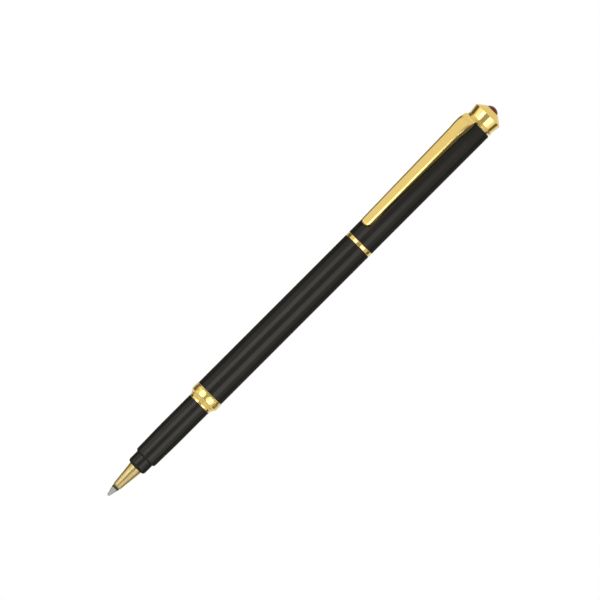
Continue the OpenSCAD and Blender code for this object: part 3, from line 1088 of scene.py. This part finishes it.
@dataclass
class Section(Assembly):
    """What the fingers hold: nose cone, collar, grip, connector and gold ring.

    Attributes:
        pitch: The thread's pitch.
        thread_depth: How deep the thread is cut.
        bore: The radius of the room for the refill.
        hold: The length of the grip's straight part.
        collar: The collar's radius.
        spigot: The radius of the cone's rear end, which the collar holds.
        joint: The radius at which the connector meets the grip and the gold ring.
        joint_length: How far the connector reaches into the grip.
    """

    pitch: float = 0.75
    thread_depth: float = 0.3
    bore: float = 3.08
    hold: float = 12.8
    collar: float = 3.0
    spigot: float = 1.85
    joint: float = 3.4
    joint_length: float = 5.0

    def build(self) -> None:
        """Makes the pieces of the section."""
        self._nose_cone()
        self._collar()
        self._grip()
        self._connector()
        self._ring()

    def _nose_cone(self) -> None:
        """The satin cone, with a bright lip round the stem."""
        cone, collar = Span.of("nose_cone"), Span.of("nose_collar")
        outline = rounded([
            Knot(1.15, cone.low, 0.02),
            Knot(1.27, cone.low, 0.05),
            Knot(1.4, cone.low + 0.5, 0.1),
            Knot(1.36, cone.low + 0.58, 0.04),
            Knot(cone.radius, collar.low - 0.12, 0.06),
            Knot(cone.radius - 0.02, collar.low, 0.04),
            Knot(self.spigot, collar.low),
            Knot(self.spigot, cone.high, 0.15),
            Knot(1.35, cone.high, 0.1),
            Knot(1.35, cone.low + 2.4),
            Knot(1.15, cone.low + 2.2),
        ])
        self.fit(lathe("nose_cone_turned", outline), Body.SECTION, Slot.GOLD_SATIN, "nose_cone")

    def _collar(self) -> None:
        """The black collar between the nose cone and the grip."""
        collar, grip = Span.of("nose_collar"), Span.of("grip")
        outline = rounded([
            Knot(self.spigot, collar.low),
            Knot(self.collar, collar.low, 0.85),
            Knot(self.collar, grip.low),
            Knot(self.bore, grip.low),
            Knot(self.bore, collar.high),
            Knot(1.73, collar.high, 0.1),
            Knot(1.73, collar.low + 3.0),
            Knot(self.spigot, collar.low + 3.0),
        ])
        piece = lathe("collar_lacquered", outline)
        self.fit(piece, Body.SECTION, Slot.BLACK_LACQUER, "nose_collar")

    def _grip(self) -> None:
        """The slim black grip, bevelled at its front and straight at its rear."""
        grip = Span.of("grip")
        front = grip.radius - 0.18
        outline = rounded([
            Knot(self.bore, grip.low, 0.03),
            Knot(front - 0.44, grip.low, 0.05),
            Knot(front, grip.low + 0.44, 0.22),
            Knot(grip.radius, grip.high - self.hold, 3.0),
            Knot(grip.radius, grip.high, 0.06),
            Knot(self.joint, grip.high),
            Knot(self.joint, grip.high - self.joint_length),
            Knot(self.bore, grip.high - self.joint_length),
        ])
        self.fit(lathe("grip_lacquered", outline), Body.SECTION, Slot.BLACK_LACQUER, "grip")

    def _thread(self, start: float, end: float) -> Relief:
        """The relief of the connector's right-handed thread.

        Args:
            start: Height where the thread starts.
            end: Height where it runs out.

        Returns:
            The relief function.
        """
        crest = Span.of("connector").radius

        def relief(radius: float, height: float, angle: float) -> float:
            """How far the surface lies below the crest.

            Args:
                radius: The point's distance from the axis.
                height: Its height.
                angle: Its place round the axis.

            Returns:
                The distance, below 0.
            """
            if radius < crest - 0.01:
                return 0.0
            phase = abs(((height / self.pitch - angle / TURN) % 1.0) - 0.5) * 2
            fade = ease(height, start, start + 0.3) * ease(-height, -end, -end + 0.3)
            return -self.thread_depth * fade * (1 - ease(phase, 0.3, 0.8))

        return relief

    def _connector(self) -> None:
        """The brass connector with its thread."""
        connector, band = Span.of("connector"), Span.of("centre_band")
        start, end = band.low, connector.high
        crest = connector.radius
        rows = 96
        ridge = [(crest, start + (end - start) * k / rows) for k in range(rows + 1)]
        outline = [
            (self.bore, connector.low),
            (self.joint, connector.low),
            (self.joint, start),
            *ridge,
            (crest - 0.1, end),
            (self.bore, end),
        ]
        piece = lathe("connector_threaded", outline, self._thread(start, end), segments=96)
        self.fit(piece, Body.SECTION, Slot.BARE_BRASS, "connector")

    def _ring(self) -> None:
        """The gold ring behind the grip, flared towards the centre band."""
        ring = Span.of("grip_ring")
        slim = ring.radius - 0.35
        outline = rounded([
            Knot(self.joint, ring.low),
            Knot(slim, ring.low, 0.08),
            Knot(slim, ring.high - 0.7, 0.5),
            Knot(ring.radius, ring.high - 0.08, 0.06),
            Knot(ring.radius - 0.08, ring.high, 0.03),
            Knot(self.joint, ring.high),
        ])
        self.fit(lathe("grip_ring_plated", outline), Body.SECTION, Slot.GOLD_PLATE, "grip_ring")


# ---- Barrel ----


@dataclass
class Barrel(Assembly):
    """The centre band, the lacquered barrel and the slim tail that carries the cap.

    Attributes:
        flutes: How many flutes the band has.
        flute_depth: How deep they are.
        bore: The radius inside the barrel's tube.
        room: The radius of the room for the refill in the tail.
    """

    flutes: int = 72
    flute_depth: float = 0.02
    bore: float = 3.95
    room: float = 3.08

    def build(self) -> None:
        """Makes the pieces of the barrel."""
        self._band()
        self._tube()
        self._tail()

    def _fluting(self, low: float, high: float, radius: float) -> Relief:
        """The relief of the fine upright flutes round the band.

        Args:
            low: Height where the flutes start.
            high: Height where they end.
            radius: The band's radius there.

        Returns:
            The relief function.
        """

        def relief(at: float, height: float, angle: float) -> float:
            """How far the surface lies below the band.

            Args:
                at: The point's distance from the axis.
                height: Its height.
                angle: Its place round the axis.

            Returns:
                The distance, below 0.
            """
            if abs(at - radius) > 0.001 or not low < height < high:
                return 0.0
            fade = ease(height, low, low + 0.12) * ease(-height, -high, -high + 0.12)
            return -self.flute_depth * fade * (0.5 - 0.5 * math.cos(angle * self.flutes))

        return relief

    def _band(self) -> None:
        """The gold centre band: a flare, a fluted flat, a groove and a bright rim."""
        band = Span.of("centre_band")
        radius = band.radius
        rim = band.high - 0.5
        low, high = band.low + 0.85, rim - 0.3
        rows = 14
        flat = [Knot(radius, low - 0.06 + (high - low + 0.12) * k / rows) for k in range(rows + 1)]
        outline = rounded([
            Knot(3.62, band.low),
            Knot(4.2, band.low, 0.04),
            Knot(4.28, band.low + 0.09, 0.05),
            Knot(radius, band.low + 0.66, 0.25),
            *flat,
            Knot(radius, rim - 0.18, 0.05),
            Knot(radius - 0.1, rim - 0.06, 0.04),
            Knot(radius - 0.1, rim, 0.02),
            Knot(radius, rim + 0.04, 0.12),
            Knot(radius - 0.08, band.high, 0.16),
            Knot(3.97, band.high),
            Knot(3.97, band.low + 1.0),
            Knot(3.62, band.low + 1.0),
        ])
        relief = self._fluting(low, high, radius)
        piece = lathe("centre_band_plated", outline, relief, segments=self.flutes * 6)
        self.fit(piece, Body.BAND, Slot.GOLD_PLATE, "centre_band")

    def _tube(self) -> None:
        """The barrel's tube."""
        tube = Span.of("barrel_tube")
        outline = rounded([
            Knot(self.bore, tube.low),
            Knot(tube.radius, tube.low, 0.05),
            Knot(tube.radius, tube.high, 0.08),
            Knot(self.bore, tube.high),
        ])
        self.fit(lathe("barrel_lacquered", outline), Body.BARREL, Slot.BLACK_LACQUER, "barrel_tube")

    def _tail(self) -> None:
        """The tail, which is as slim as the grip so that the cap fits both."""
        tail, tube = Span.of("barrel_tail"), Span.of("barrel_tube")
        slim = Span.of("grip").radius
        outline = rounded([
            Knot(self.room, tail.low, 0.1),
            Knot(self.bore, tail.low, 0.1),
            Knot(self.bore, tube.high),
            Knot(slim, tube.high),
            Knot(slim, tail.high, 0.8),
            Knot(0, tail.high),
            Knot(0, tail.high - TAIL_WALL),
            Knot(self.room, tail.high - TAIL_WALL, 0.3),
        ])
        piece = lathe("barrel_tail_lacquered", outline)
        self.fit(piece, Body.BARREL, Slot.BLACK_LACQUER, "barrel_tail")


# ---- Cap ----


@dataclass
class Cap(Assembly):
    """The cap's tube and mouth ring, and the crown with its jewel.

    Attributes:
        bore: The radius inside the cap's tube.
        screw: The radius of the hole for the crown's screw.
        thread: The radius of the screw's hole in the crown.
        end_wall: The thickness of the tube's end.
        clearance: The gap between the mouth ring and the tail inside it.
    """

    bore: float = 4.1
    screw: float = 1.65
    thread: float = 1.6
    end_wall: float = 0.8
    clearance: float = 0.05

    def build(self) -> None:
        """Makes the pieces of the cap."""
        self._mouth_ring()
        self._tube()
        self._neck_ring()
        self._crown()
        self._jewel()

    def _mouth_ring(self) -> None:
        """The gold ring at the cap's mouth."""
        ring = Span.of("mouth_ring")
        inner = Span.of("grip").radius + self.clearance
        outline = rounded([
            Knot(inner, ring.low, 0.1),
            Knot(ring.radius, ring.low, 0.32),
            Knot(ring.radius, ring.high, 0.25),
            Knot(inner, ring.high),
        ])
        self.fit(lathe("mouth_ring_plated", outline), Body.CAP, Slot.GOLD_PLATE, "mouth_ring")

    def _tube(self) -> None:
        """The cap's tube, closed at its top but for the screw's hole."""
        tube = Span.of("cap_tube")
        outline = rounded([
            Knot(self.bore, tube.low),
            Knot(tube.radius, tube.low, 0.05),
            Knot(tube.radius, tube.high, 0.3),
            Knot(self.screw, tube.high),
            Knot(self.screw, tube.high - self.end_wall),
            Knot(self.bore, tube.high - self.end_wall),
        ])
        self.fit(lathe("cap_lacquered", outline), Body.CAP, Slot.BLACK_LACQUER, "cap_tube")

    def _neck_ring(self) -> None:
        """The ring under the crown, with a fine groove round it."""
        ring = Span.of("neck_ring")
        outline = rounded([
            Knot(self.screw, ring.low),
            Knot(ring.radius, ring.low, 0.12),
            Knot(ring.radius, ring.at(0.52), 0.08),
            Knot(ring.radius - 0.12, ring.at(0.6), 0.03),
            Knot(ring.radius - 0.12, ring.at(0.68), 0.03),
            Knot(ring.radius - 0.02, ring.at(0.76), 0.05),
            Knot(ring.radius - 0.02, ring.high, 0.06),
            Knot(self.screw, ring.high),
        ])
        self.fit(lathe("neck_ring_plated", outline), Body.CAP, Slot.GOLD_PLATE, "neck_ring")

    def _crown(self) -> None:
        """The crown: a flared drum under a straight cone, bored for its screw and its jewel."""
        crown = Span.of("crown")
        jewel = Span.of("jewel")
        edge = crown.low + 3.0
        waist = crown.radius - 0.4
        outline = rounded([
            Knot(self.thread, crown.low),
            Knot(waist, crown.low, 0.06),
            Knot(waist, crown.low + 0.15, 0.05),
            Knot(crown.radius, edge, 0.1),
            Knot(jewel.radius + 0.32, crown.high - 0.06, 0.08),
            Knot(jewel.radius + 0.16, crown.high, 0.05),
            Knot(jewel.radius, crown.high, 0.03),
            Knot(jewel.radius, crown.high - 0.9),
            Knot(0, crown.high - 0.9),
            Knot(0, crown.low + 2.5),
            Knot(self.thread, crown.low + 2.5),
        ])
        self.fit(lathe("crown_plated", outline), Body.CAP, Slot.GOLD_PLATE, "crown")

    def _jewel(self) -> None:
        """The cabochon set in the crown."""
        jewel, crown = Span.of("jewel"), Span.of("crown")
        rise = jewel.high - crown.high
        sphere = (jewel.radius ** 2 + rise ** 2) / (2 * rise)
        half = math.asin(jewel.radius / sphere)
        steps = 20
        turns = [half * (1 - k / steps) for k in range(steps + 1)]
        dome = [(sphere * math.sin(a), jewel.high - sphere * (1 - math.cos(a))) for a in turns]
        outline = [(0, jewel.low), (jewel.radius, jewel.low), *dome]
        self.fit(lathe("jewel_cabochon", outline, segments=96), Body.CAP, Slot.JEWEL_RED, "jewel")


# ---- Clip ----


@dataclass(frozen=True)
class ClipSection:
    """One cross-section of the clip's folded sheet.

    Attributes:
        height: Its place along the pen.
        flat: Half the width of its outer face.
        half: Half the width between its lower edges.
        face: The outer face's distance from the axis.
        low: The lower edges' distance from the axis.
        roof: The thickness of metal under the face.
        wall: The thickness of its sides.
        fold: The radius of its outer edges.
        bow: How far the middle of the face stands out.
        bevel: The width of the bevel along each edge of the face.
        drop: The depth of that bevel.
    """

    height: float
    flat: float
    half: float
    face: float
    low: float
    roof: float
    wall: float = 0.38
    fold: float = 0.22
    bow: float = 0.12
    bevel: float = 0.6
    drop: float = 0.11

    def ring(self) -> list[Vector]:
        """The section's closed ring of points.

        Returns:
            The points in order round the section.
        """
        wall = min(self.wall, 0.7 * self.half)
        under = self.face - self.roof
        inner = min(self.flat, self.half) - wall
        fold = min(self.fold, 0.4 * (self.face - self.low))
        bevel = min(self.bevel, 0.27 * self.flat)
        edge = self.flat - bevel
        corner = self.face - self.drop * bevel / self.bevel
        places = [edge * share for share in (-1, -0.6, -0.2, 0.2, 0.6, 1)]
        front = [Knot(across, self._front(across)) for across in places]
        knots = [
            Knot(-self.half, self.low, 0.05),
            Knot(-self.flat, corner, fold),
            *front,
            Knot(self.flat, corner, fold),
            Knot(self.half, self.low, 0.05),
            Knot(self.half - wall, self.low, 0.05),
            Knot(inner, under),
            Knot(-inner, under),
            Knot(wall - self.half, self.low, 0.05),
        ]
        return [Vector((x, -y, self.height)) for x, y in rounded(knots)]

    def _front(self, across: float) -> float:
        """The bowed outer face's distance from the axis."""
        return self.face + self.bow * (1 - (across / self.flat) ** 2)


@dataclass
class Clip(Assembly):
    """The folded clip, the foot under its end and the bend that leads into the crown.

    Attributes:
        low_half: Half its width at its blunt end.
        wide_half: Half its width where the head starts.
        head_half: Half its width at the top of the head.
        head_length: The length of the head.
        head_drop: How far the head falls towards the cap.
        lean: How much nearer to the cap the blunt end lies than the start of the head.
        sheet: The thickness of the sheet that it is folded from.
        parting: How far below the crown the clip parts from its bend.
        parting_gap: The gap between them.
        bend_inset: How far the bend's face lies inside the clip's.
        corner_share: The length of the rounded end, as a share of its half width.
        curl: How far the face rolls in at the end.
        curl_length: The length of that roll.
        belly_rise: Where the sides start to deepen near the end, and where they are deepest.
        belly_hold: Where they start to rise again.
        belly_length: Where they are level again.
        belly_drop: How far they reach down there.
        belly_spread: How far they spread there.
        end_wall: Where the metal that closes the end starts to thin, and where it stops.
        least: The foot's least thickness, and how far the closed end stops short of the edges.
        foot_inset: How far the foot lies inside the clip's end, on each side.
        foot_start: Where the foot starts.
        foot_length: The foot's length.
        foot_fullness: How fast the foot swells; less is faster.
        chord: How far from the axis the bend meets the eye.
        hole: The radius of the eye's hole.
        low: The height of the blunt end.
        high: The height of the head.
        top_face: The face's greatest distance from the axis.
        side: How near to the axis the frame's clip comes.
    """

    low_half: float = 1.65
    wide_half: float = 2.05
    head_half: float = 2.4
    head_length: float = 5.9
    head_drop: float = 1.15
    lean: float = 0.8
    sheet: float = 0.4
    parting: float = 0.65
    parting_gap: float = 0.03
    bend_inset: float = 0.2
    corner_share: float = 0.75
    curl: float = 0.5
    curl_length: float = 0.6
    belly_rise: Point = (0.3, 2.2)
    belly_hold: float = 3.2
    belly_length: float = 7.7
    belly_drop: float = 0.3
    belly_spread: float = 0.12
    end_wall: Point = (0.25, 0.6)
    least: float = 0.04
    foot_inset: float = 0.42
    foot_start: float = 0.9
    foot_length: float = 6.0
    foot_fullness: float = 0.8
    chord: float = 3.3
    hole: float = 1.65
    low: float = field(init=False)
    high: float = field(init=False)
    top_face: float = field(init=False)
    side: float = field(init=False)

    def __post_init__(self) -> None:
        """Reads the clip's place from the frame."""
        span = Span.of("clip")
        lowest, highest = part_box("clip")
        self.low, self.high = span.low, span.high
        self.top_face = -lowest.y / MM
        self.side = -highest.y / MM

    def build(self) -> None:
        """Makes the clip, its foot, its bend and its eye."""
        self._strip()
        self._foot()
        self._bend()
        self._eye()

    def _head(self, height: float) -> float:
        """How far up the clip's head a height lies, from 0 to 1."""
        return max(0.0, height - self.high + self.head_length) / self.head_length

    def _face(self, height: float) -> float:
        """The outer face's distance from the axis at a height."""
        straight = self.high - self.head_length - self.low
        rise = min(1.0, (height - self.low) / straight)
        return self.top_face - self.lean * (1 - rise) - self.head_drop * self._head(height) ** 4

    def _half(self, height: float) -> float:
        """Half the clip's width at a height."""
        straight = self.high - self.head_length - self.low
        taper = min(1.0, (height - self.low) / straight)
        share = self._head(height)
        widen = (self.head_half - self.wide_half) * share * (2 - share)
        return self.low_half + (self.wide_half - self.low_half) * taper + widen

    def _section(self, height: float) -> ClipSection:
        """Works out the clip's section at a height.

        Args:
            height: A height along the pen.

        Returns:
            The section there.
        """
        up = height - self.low
        corner = self.corner_share * self.low_half
        side = 1 - max(0.0, 1 - up / corner)
        tip = 1 - (1 - math.sqrt(max(0.0, 1 - (1 - side) ** 2))) * corner / self.low_half
        rolled = max(0.0, 1 - up / self.curl_length)
        curl = self.curl * (1 - math.sqrt(max(0.0, 1 - rolled ** 2)))
        belly = ease(up, *self.belly_rise) * (1 - ease(up, self.belly_hold, self.belly_length))
        face = self._face(height) - curl
        low = self.side - self.belly_drop * belly
        half = self._half(height) * tip
        open_depth = face - low - self.sheet - self.least
        roof = self.sheet + open_depth * (1 - ease(up, *self.end_wall))
        return ClipSection(height, half, half + self.belly_spread * belly, face, low, roof)

    def _strip(self) -> None:
        """The clip itself, from its blunt end to its bent head."""
        end = self.high - self.parting
        nose, nose_rows, first = 1.3, 14, 0.02
        turns = [math.pi / 2 * k / nose_rows for k in range(nose_rows + 1)]
        near = [self.low + nose * (1 - math.cos(a)) + first for a in turns]
        panel_start, panel_step, panel_rows = 1.6, 0.35, 21
        panel = [self.low + panel_start + panel_step * k for k in range(panel_rows)]
        head = self.high - self.head_length
        lead, head_rows = 0.3, 24
        length = end - head + lead
        far = [head - lead + length * k / head_rows for k in range(head_rows + 1)]
        rings = [self._section(height).ring() for height in near + panel + far]
        self.fit(loft("clip_folded", rings), Body.CLIP, Slot.GOLD_PLATE, "clip")

    def _foot(self) -> None:
        """The foot that presses on the cap, inside the clip's end."""
        width = self.low_half - self.foot_inset
        steps = 20
        rings = []
        for k in range(steps + 1):
            height = self.low + self.foot_start + self.foot_length * k / steps
            roof = self._face(height) - self.sheet
            swell = math.sin(math.pi * k / steps) ** self.foot_fullness
            bottom = roof - self.least - (roof - self.least - self.side) * swell
            knots = [
                Knot(-width, bottom, 0.1),
                Knot(-width, roof),
                Knot(width, roof),
                Knot(width, bottom, 0.1),
            ]
            rings.append([Vector((x, -y, height)) for x, y in rounded(knots)])
        self.fit(loft("clip_foot", rings), Body.CLIP, Slot.GOLD_PLATE)

    def _bend(self) -> None:
        """The bend from the clip's head in under the crown."""
        start = self.high - self.parting + self.parting_gap
        face = self._face(start) - self.bend_inset
        top = Span.of("neck_ring").low
        outer = self._quarter(face, start, top - start)
        inner = self._quarter(face - self.sheet, start, top - start - self.sheet)
        rings = []
        for (y0, z0), (y1, z1) in zip(outer, inner):
            half = self.head_half
            rings.append([
                Vector((-half, -y0, z0)),
                Vector((half, -y0, z0)),
                Vector((half, -y1, z1)),
                Vector((-half, -y1, z1)),
            ])
        self.fit(loft("clip_bend", rings), Body.CAP, Slot.GOLD_PLATE, "clip_eyelet")

    def _quarter(self, face: float, start: float, radius: float) -> list[Point]:
        """A quarter turn in from a face, and the flat that follows it.

        Args:
            face: The face's distance from the axis.
            start: The height where the turn starts.
            radius: The turn's radius.

        Returns:
            Points of (distance from the axis, height).
        """
        steps = 16
        turns = [math.pi / 2 * k / steps for k in range(steps + 1)]
        arc = [(face - radius * (1 - math.cos(a)), start + radius * math.sin(a)) for a in turns]
        return arc + [(self.chord, start + radius)]

    def _eye(self) -> None:
        """The clip's eye, clamped between the cap and the neck ring."""
        lowest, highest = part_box("clip_eyelet")
        low, high = lowest.z / MM, highest.z / MM
        radius = highest.x / MM

        def relief(at: float, height: float, angle: float) -> float:
            """Cuts the disc straight where the bend meets it.

            Args:
                at: The point's distance from the axis.
                height: Its height; not used.
                angle: Its place round the axis.

            Returns:
                How far the point moves, below 0 where it is cut.
            """
            towards_clip = -math.sin(angle) * at
            if towards_clip <= self.chord:
                return 0.0
            return self.chord / -math.sin(angle) - at

        outline = [(self.hole, low), (radius, low), (radius, high), (self.hole, high)]
        self.fit(lathe("clip_eye", outline, relief), Body.CAP, Slot.GOLD_PLATE)


# ---- Studio ----


class Tone(NamedTuple):
    """What the room looks like in one direction round the pen.

    Attributes:
        angle: Degrees from the camera, with the camera's right as positive.
        colour: The room's colour there, with 1 as white.
    """

    angle: float
    colour: Colour


WHITE: Colour = (1.0, 1.0, 1.0)
PALE: Colour = (0.8, 0.78, 0.72)
DIM: Colour = (0.12, 0.11, 0.09)
AMBER: Colour = (0.86, 0.8, 0.68)
SAND: Colour = (0.66, 0.62, 0.54)
DUSK: Colour = (0.4, 0.38, 0.32)
CEILING: Colour = (0.8, 0.74, 0.58)
FLOOR: tuple[Colour, Colour] = ((0.85, 0.87, 0.92), (0.88, 0.9, 0.95))

ROOM: tuple[Tone, ...] = (
    Tone(-180, PALE),
    Tone(-142, PALE),
    Tone(-128, DIM),
    Tone(-94, DIM),
    Tone(-87, AMBER),
    Tone(-56, AMBER),
    Tone(-42, DUSK),
    Tone(42, DUSK),
    Tone(56, SAND),
    Tone(84, SAND),
    Tone(91, DIM),
    Tone(112, DIM),
    Tone(122, PALE),
    Tone(180, PALE),
)


@dataclass(frozen=True)
class Strip:
    """A long strip light beside the camera.

    Attributes:
        name: The lamp's name.
        start: Where it starts round the pen's axis, in degrees from the camera.
        end: Where it ends.
        low: Its lower end, in millimetres along the pen.
        high: Its upper end.
        reach: Its distance from the pen's axis, in millimetres.
        radiance: How bright its surface is, with 1 as white.
    """

    name: str
    start: float
    end: float
    low: float
    high: float
    reach: float
    radiance: float


STRIPS: tuple[Strip, ...] = (
    Strip("strip_left", -49.0, -20.0, -150.0, 98.0, 500.0, 2.3),
    Strip("strip_right", 19.0, 54.0, -120.0, 98.0, 500.0, 2.1),
    Strip("low_left", -96.0, -57.0, -180.0, -60.0, 900.0, 0.9),
    Strip("low_right", 56.0, 84.0, -180.0, -60.0, 900.0, 0.9),
)


@dataclass
class Studio:
    """The floor, the light and the camera.

    Attributes:
        azimuth: Where the camera stands round the pen, in degrees from the clip's side.
        elevation: How far it stands above the level, in degrees.
        roll: How far it is rolled, in degrees.
        distance: How far it stands from the pen.
        view_width: The width that it takes in at the pen.
        aim_offset: How far its aim lies from the pen's middle, across and up.
        floor_drop: How far the floor lies below the pen.
        floor_radius: The floor's radius.
        floor_depth: The floor's thickness.
        floor_edge: The radius that rounds its edge.
        ceiling: Where the room's tones give way to the ceiling, as heights of a direction.
        ground: Where they give way to the white below.
    """

    azimuth: float = 36.0
    elevation: float = 0.0
    roll: float = 45.0
    distance: float = 2000.0
    view_width: float = 170.9
    aim_offset: Point = (-0.43, 0.48)
    floor_drop: float = 52.0
    floor_radius: float = 150.0
    floor_depth: float = 2.0
    floor_edge: float = 0.8
    ceiling: Point = (0.35, 0.6)
    ground: Point = (-0.8, -0.62)

    def axes(self) -> tuple[Vector, Vector, Vector]:
        """The level camera's directions.

        Returns:
            Its right, up and backward directions.
        """
        a, e = math.radians(self.azimuth), math.radians(self.elevation)
        right = Vector((math.cos(a), math.sin(a), 0.0))
        back = Vector((math.sin(a) * math.cos(e), -math.cos(a) * math.cos(e), math.sin(e)))
        return right, back.cross(right), back

    def build(self, low: Vector, high: Vector) -> None:
        """Makes the floor, the world, the lamps and the camera.

        Args:
            low: The pen's lowest corner, in metres.
            high: The pen's highest corner, in metres.
        """
        self._floor(low.z - self.floor_drop * MM)
        self._world()
        for strip in STRIPS:
            self._lamp(strip)
        self._camera(Vector((0.0, 0.0, (low.z + high.z) / 2)))

    def _floor(self, height: float) -> None:
        """Makes the plain pale disc well under the pen.

        Args:
            height: The height of its top, in metres.
        """
        radius = self.floor_radius
        level = height / MM
        outline = rounded([
            Knot(0, level - self.floor_depth),
            Knot(radius, level - self.floor_depth, self.floor_edge),
            Knot(radius, level, self.floor_edge),
            Knot(0, level),
        ])
        floor = lathe("floor_disc", outline)
        paint = bpy.data.materials.new("floor_paint")
        paint.use_nodes = True
        graph = Graph(paint.node_tree)
        shader = paint.node_tree.nodes["Principled BSDF"]
        position = graph.add("ShaderNodeTexCoord").outputs["Object"]
        tone = graph.mix(graph.noise(position, 40.0), *FLOOR)
        graph.put(shader.inputs["Base Color"], tone)
        shader.inputs["Roughness"].default_value = 0.7
        floor.data.materials.append(paint)
        floor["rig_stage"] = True

    def _world(self) -> None:
        """White behind the pen, and the room's tones on the camera's side."""
        right, _, back = self.axes()
        world = bpy.data.worlds.new("studio")
        bpy.context.scene.world = world
        world.use_nodes = True
        graph = Graph(world.node_tree)
        lit = world.node_tree.nodes["Background"]
        direction = graph.add("ShaderNodeTexCoord").outputs["Generated"]
        sideways, forwards = (self._dot(graph, direction, axis) for axis in (right, back))
        angle = graph.math("ARCTAN2", sideways, forwards)
        ramp = graph.add("ShaderNodeValToRGB")
        graph.put(ramp.inputs["Fac"], graph.math("MULTIPLY_ADD", angle, 1 / TURN, 0.5))
        stops = ramp.color_ramp.elements
        for index, tone in enumerate(ROOM):
            share = tone.angle / 360 + 0.5
            if index < 2:
                stops[index].position = share
            else:
                stops.new(share)
            stops[index].color = (*tone.colour, 1.0)
        height = self._dot(graph, direction, Vector((0.0, 0.0, 1.0)))
        above = graph.remap(height, *self.ceiling)
        below = graph.remap(height, *self.ground, 1.0, 0.0)
        tone = graph.mix(above, ramp.outputs["Color"], CEILING)
        tone = graph.mix(below, tone, WHITE)
        seen = graph.add("ShaderNodeLightPath").outputs["Is Camera Ray"]
        graph.put(lit.inputs["Color"], graph.mix(seen, tone, WHITE))

    @staticmethod
    def _dot(graph: Graph, direction: Socket, axis: Vector) -> Socket:
        """How far a direction points along an axis.

        Args:
            graph: The graph that it goes into.
            direction: The socket with the direction.
            axis: The axis.

        Returns:
            The socket with the result.
        """
        node = graph.add("ShaderNodeVectorMath", operation="DOT_PRODUCT")
        graph.put(node.inputs[0], direction)
        node.inputs[1].default_value = axis
        return node.outputs["Value"]

    def _lamp(self, strip: Strip) -> None:
        """Hangs a strip light.

        Args:
            strip: The light's size, place and brightness.
        """
        right, up, back = self.axes()
        centre = math.radians((strip.start + strip.end) / 2)
        out = back * math.cos(centre) + right * math.sin(centre)
        across = up.cross(out)
        half = math.radians(strip.end - strip.start) / 2
        width = 2 * strip.reach * math.tan(half) * MM
        length = (strip.high - strip.low) * MM
        data = bpy.data.lights.new(strip.name, "AREA")
        data.shape = "RECTANGLE"
        data.size, data.size_y = width, length
        data.energy = strip.radiance * math.pi * width * length
        place = out * strip.reach + up * (strip.low + strip.high) / 2
        lamp = bpy.data.objects.new(strip.name, data)
        turn = Matrix((across, up, out)).transposed().to_4x4()
        lamp.matrix_world = Matrix.Translation(place * MM) @ turn
        lamp.visible_camera = False
        bpy.context.scene.collection.objects.link(lamp)

    def _camera(self, middle: Vector) -> None:
        """Sets up a long lens on the clip's side, rolled so that the pen lies on the diagonal.

        Args:
            middle: The pen's middle, in metres.
        """
        right, up, back = self.axes()
        tilt = math.radians(self.roll)
        across = right * math.cos(tilt) + up * math.sin(tilt)
        upright = up * math.cos(tilt) - right * math.sin(tilt)
        aim = middle + (across * self.aim_offset[0] + upright * self.aim_offset[1]) * MM
        data = bpy.data.cameras.new("camera")
        data.sensor_width = 36.0
        data.lens = data.sensor_width * self.distance / self.view_width
        data.clip_start, data.clip_end = 0.1, 10.0
        camera = bpy.data.objects.new("camera", data)
        turn = Matrix((across, upright, back)).transposed().to_4x4()
        camera.matrix_world = Matrix.Translation(aim + back * self.distance * MM) @ turn
        bpy.context.scene.collection.objects.link(camera)
        bpy.context.scene.camera = camera


def main() -> None:
    """Builds the pen's looks on the frame, then the studio round it."""
    logging.basicConfig(level=logging.INFO, format="%(name)s: %(message)s")
    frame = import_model()
    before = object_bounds()
    effects = Effects()
    effects.build()
    paintbox = Paintbox(effects)
    paintbox.build()
    paintbox.coat_frame(frame)
    for kind in (Refill, Section, Barrel, Cap, Clip):
        assembly = kind(paintbox)
        assembly.build()
        assembly.dress()
    Studio().build(*before)
    scene = bpy.context.scene
    scene.view_settings.view_transform = "Standard"


if __name__ == "__main__":
    main()
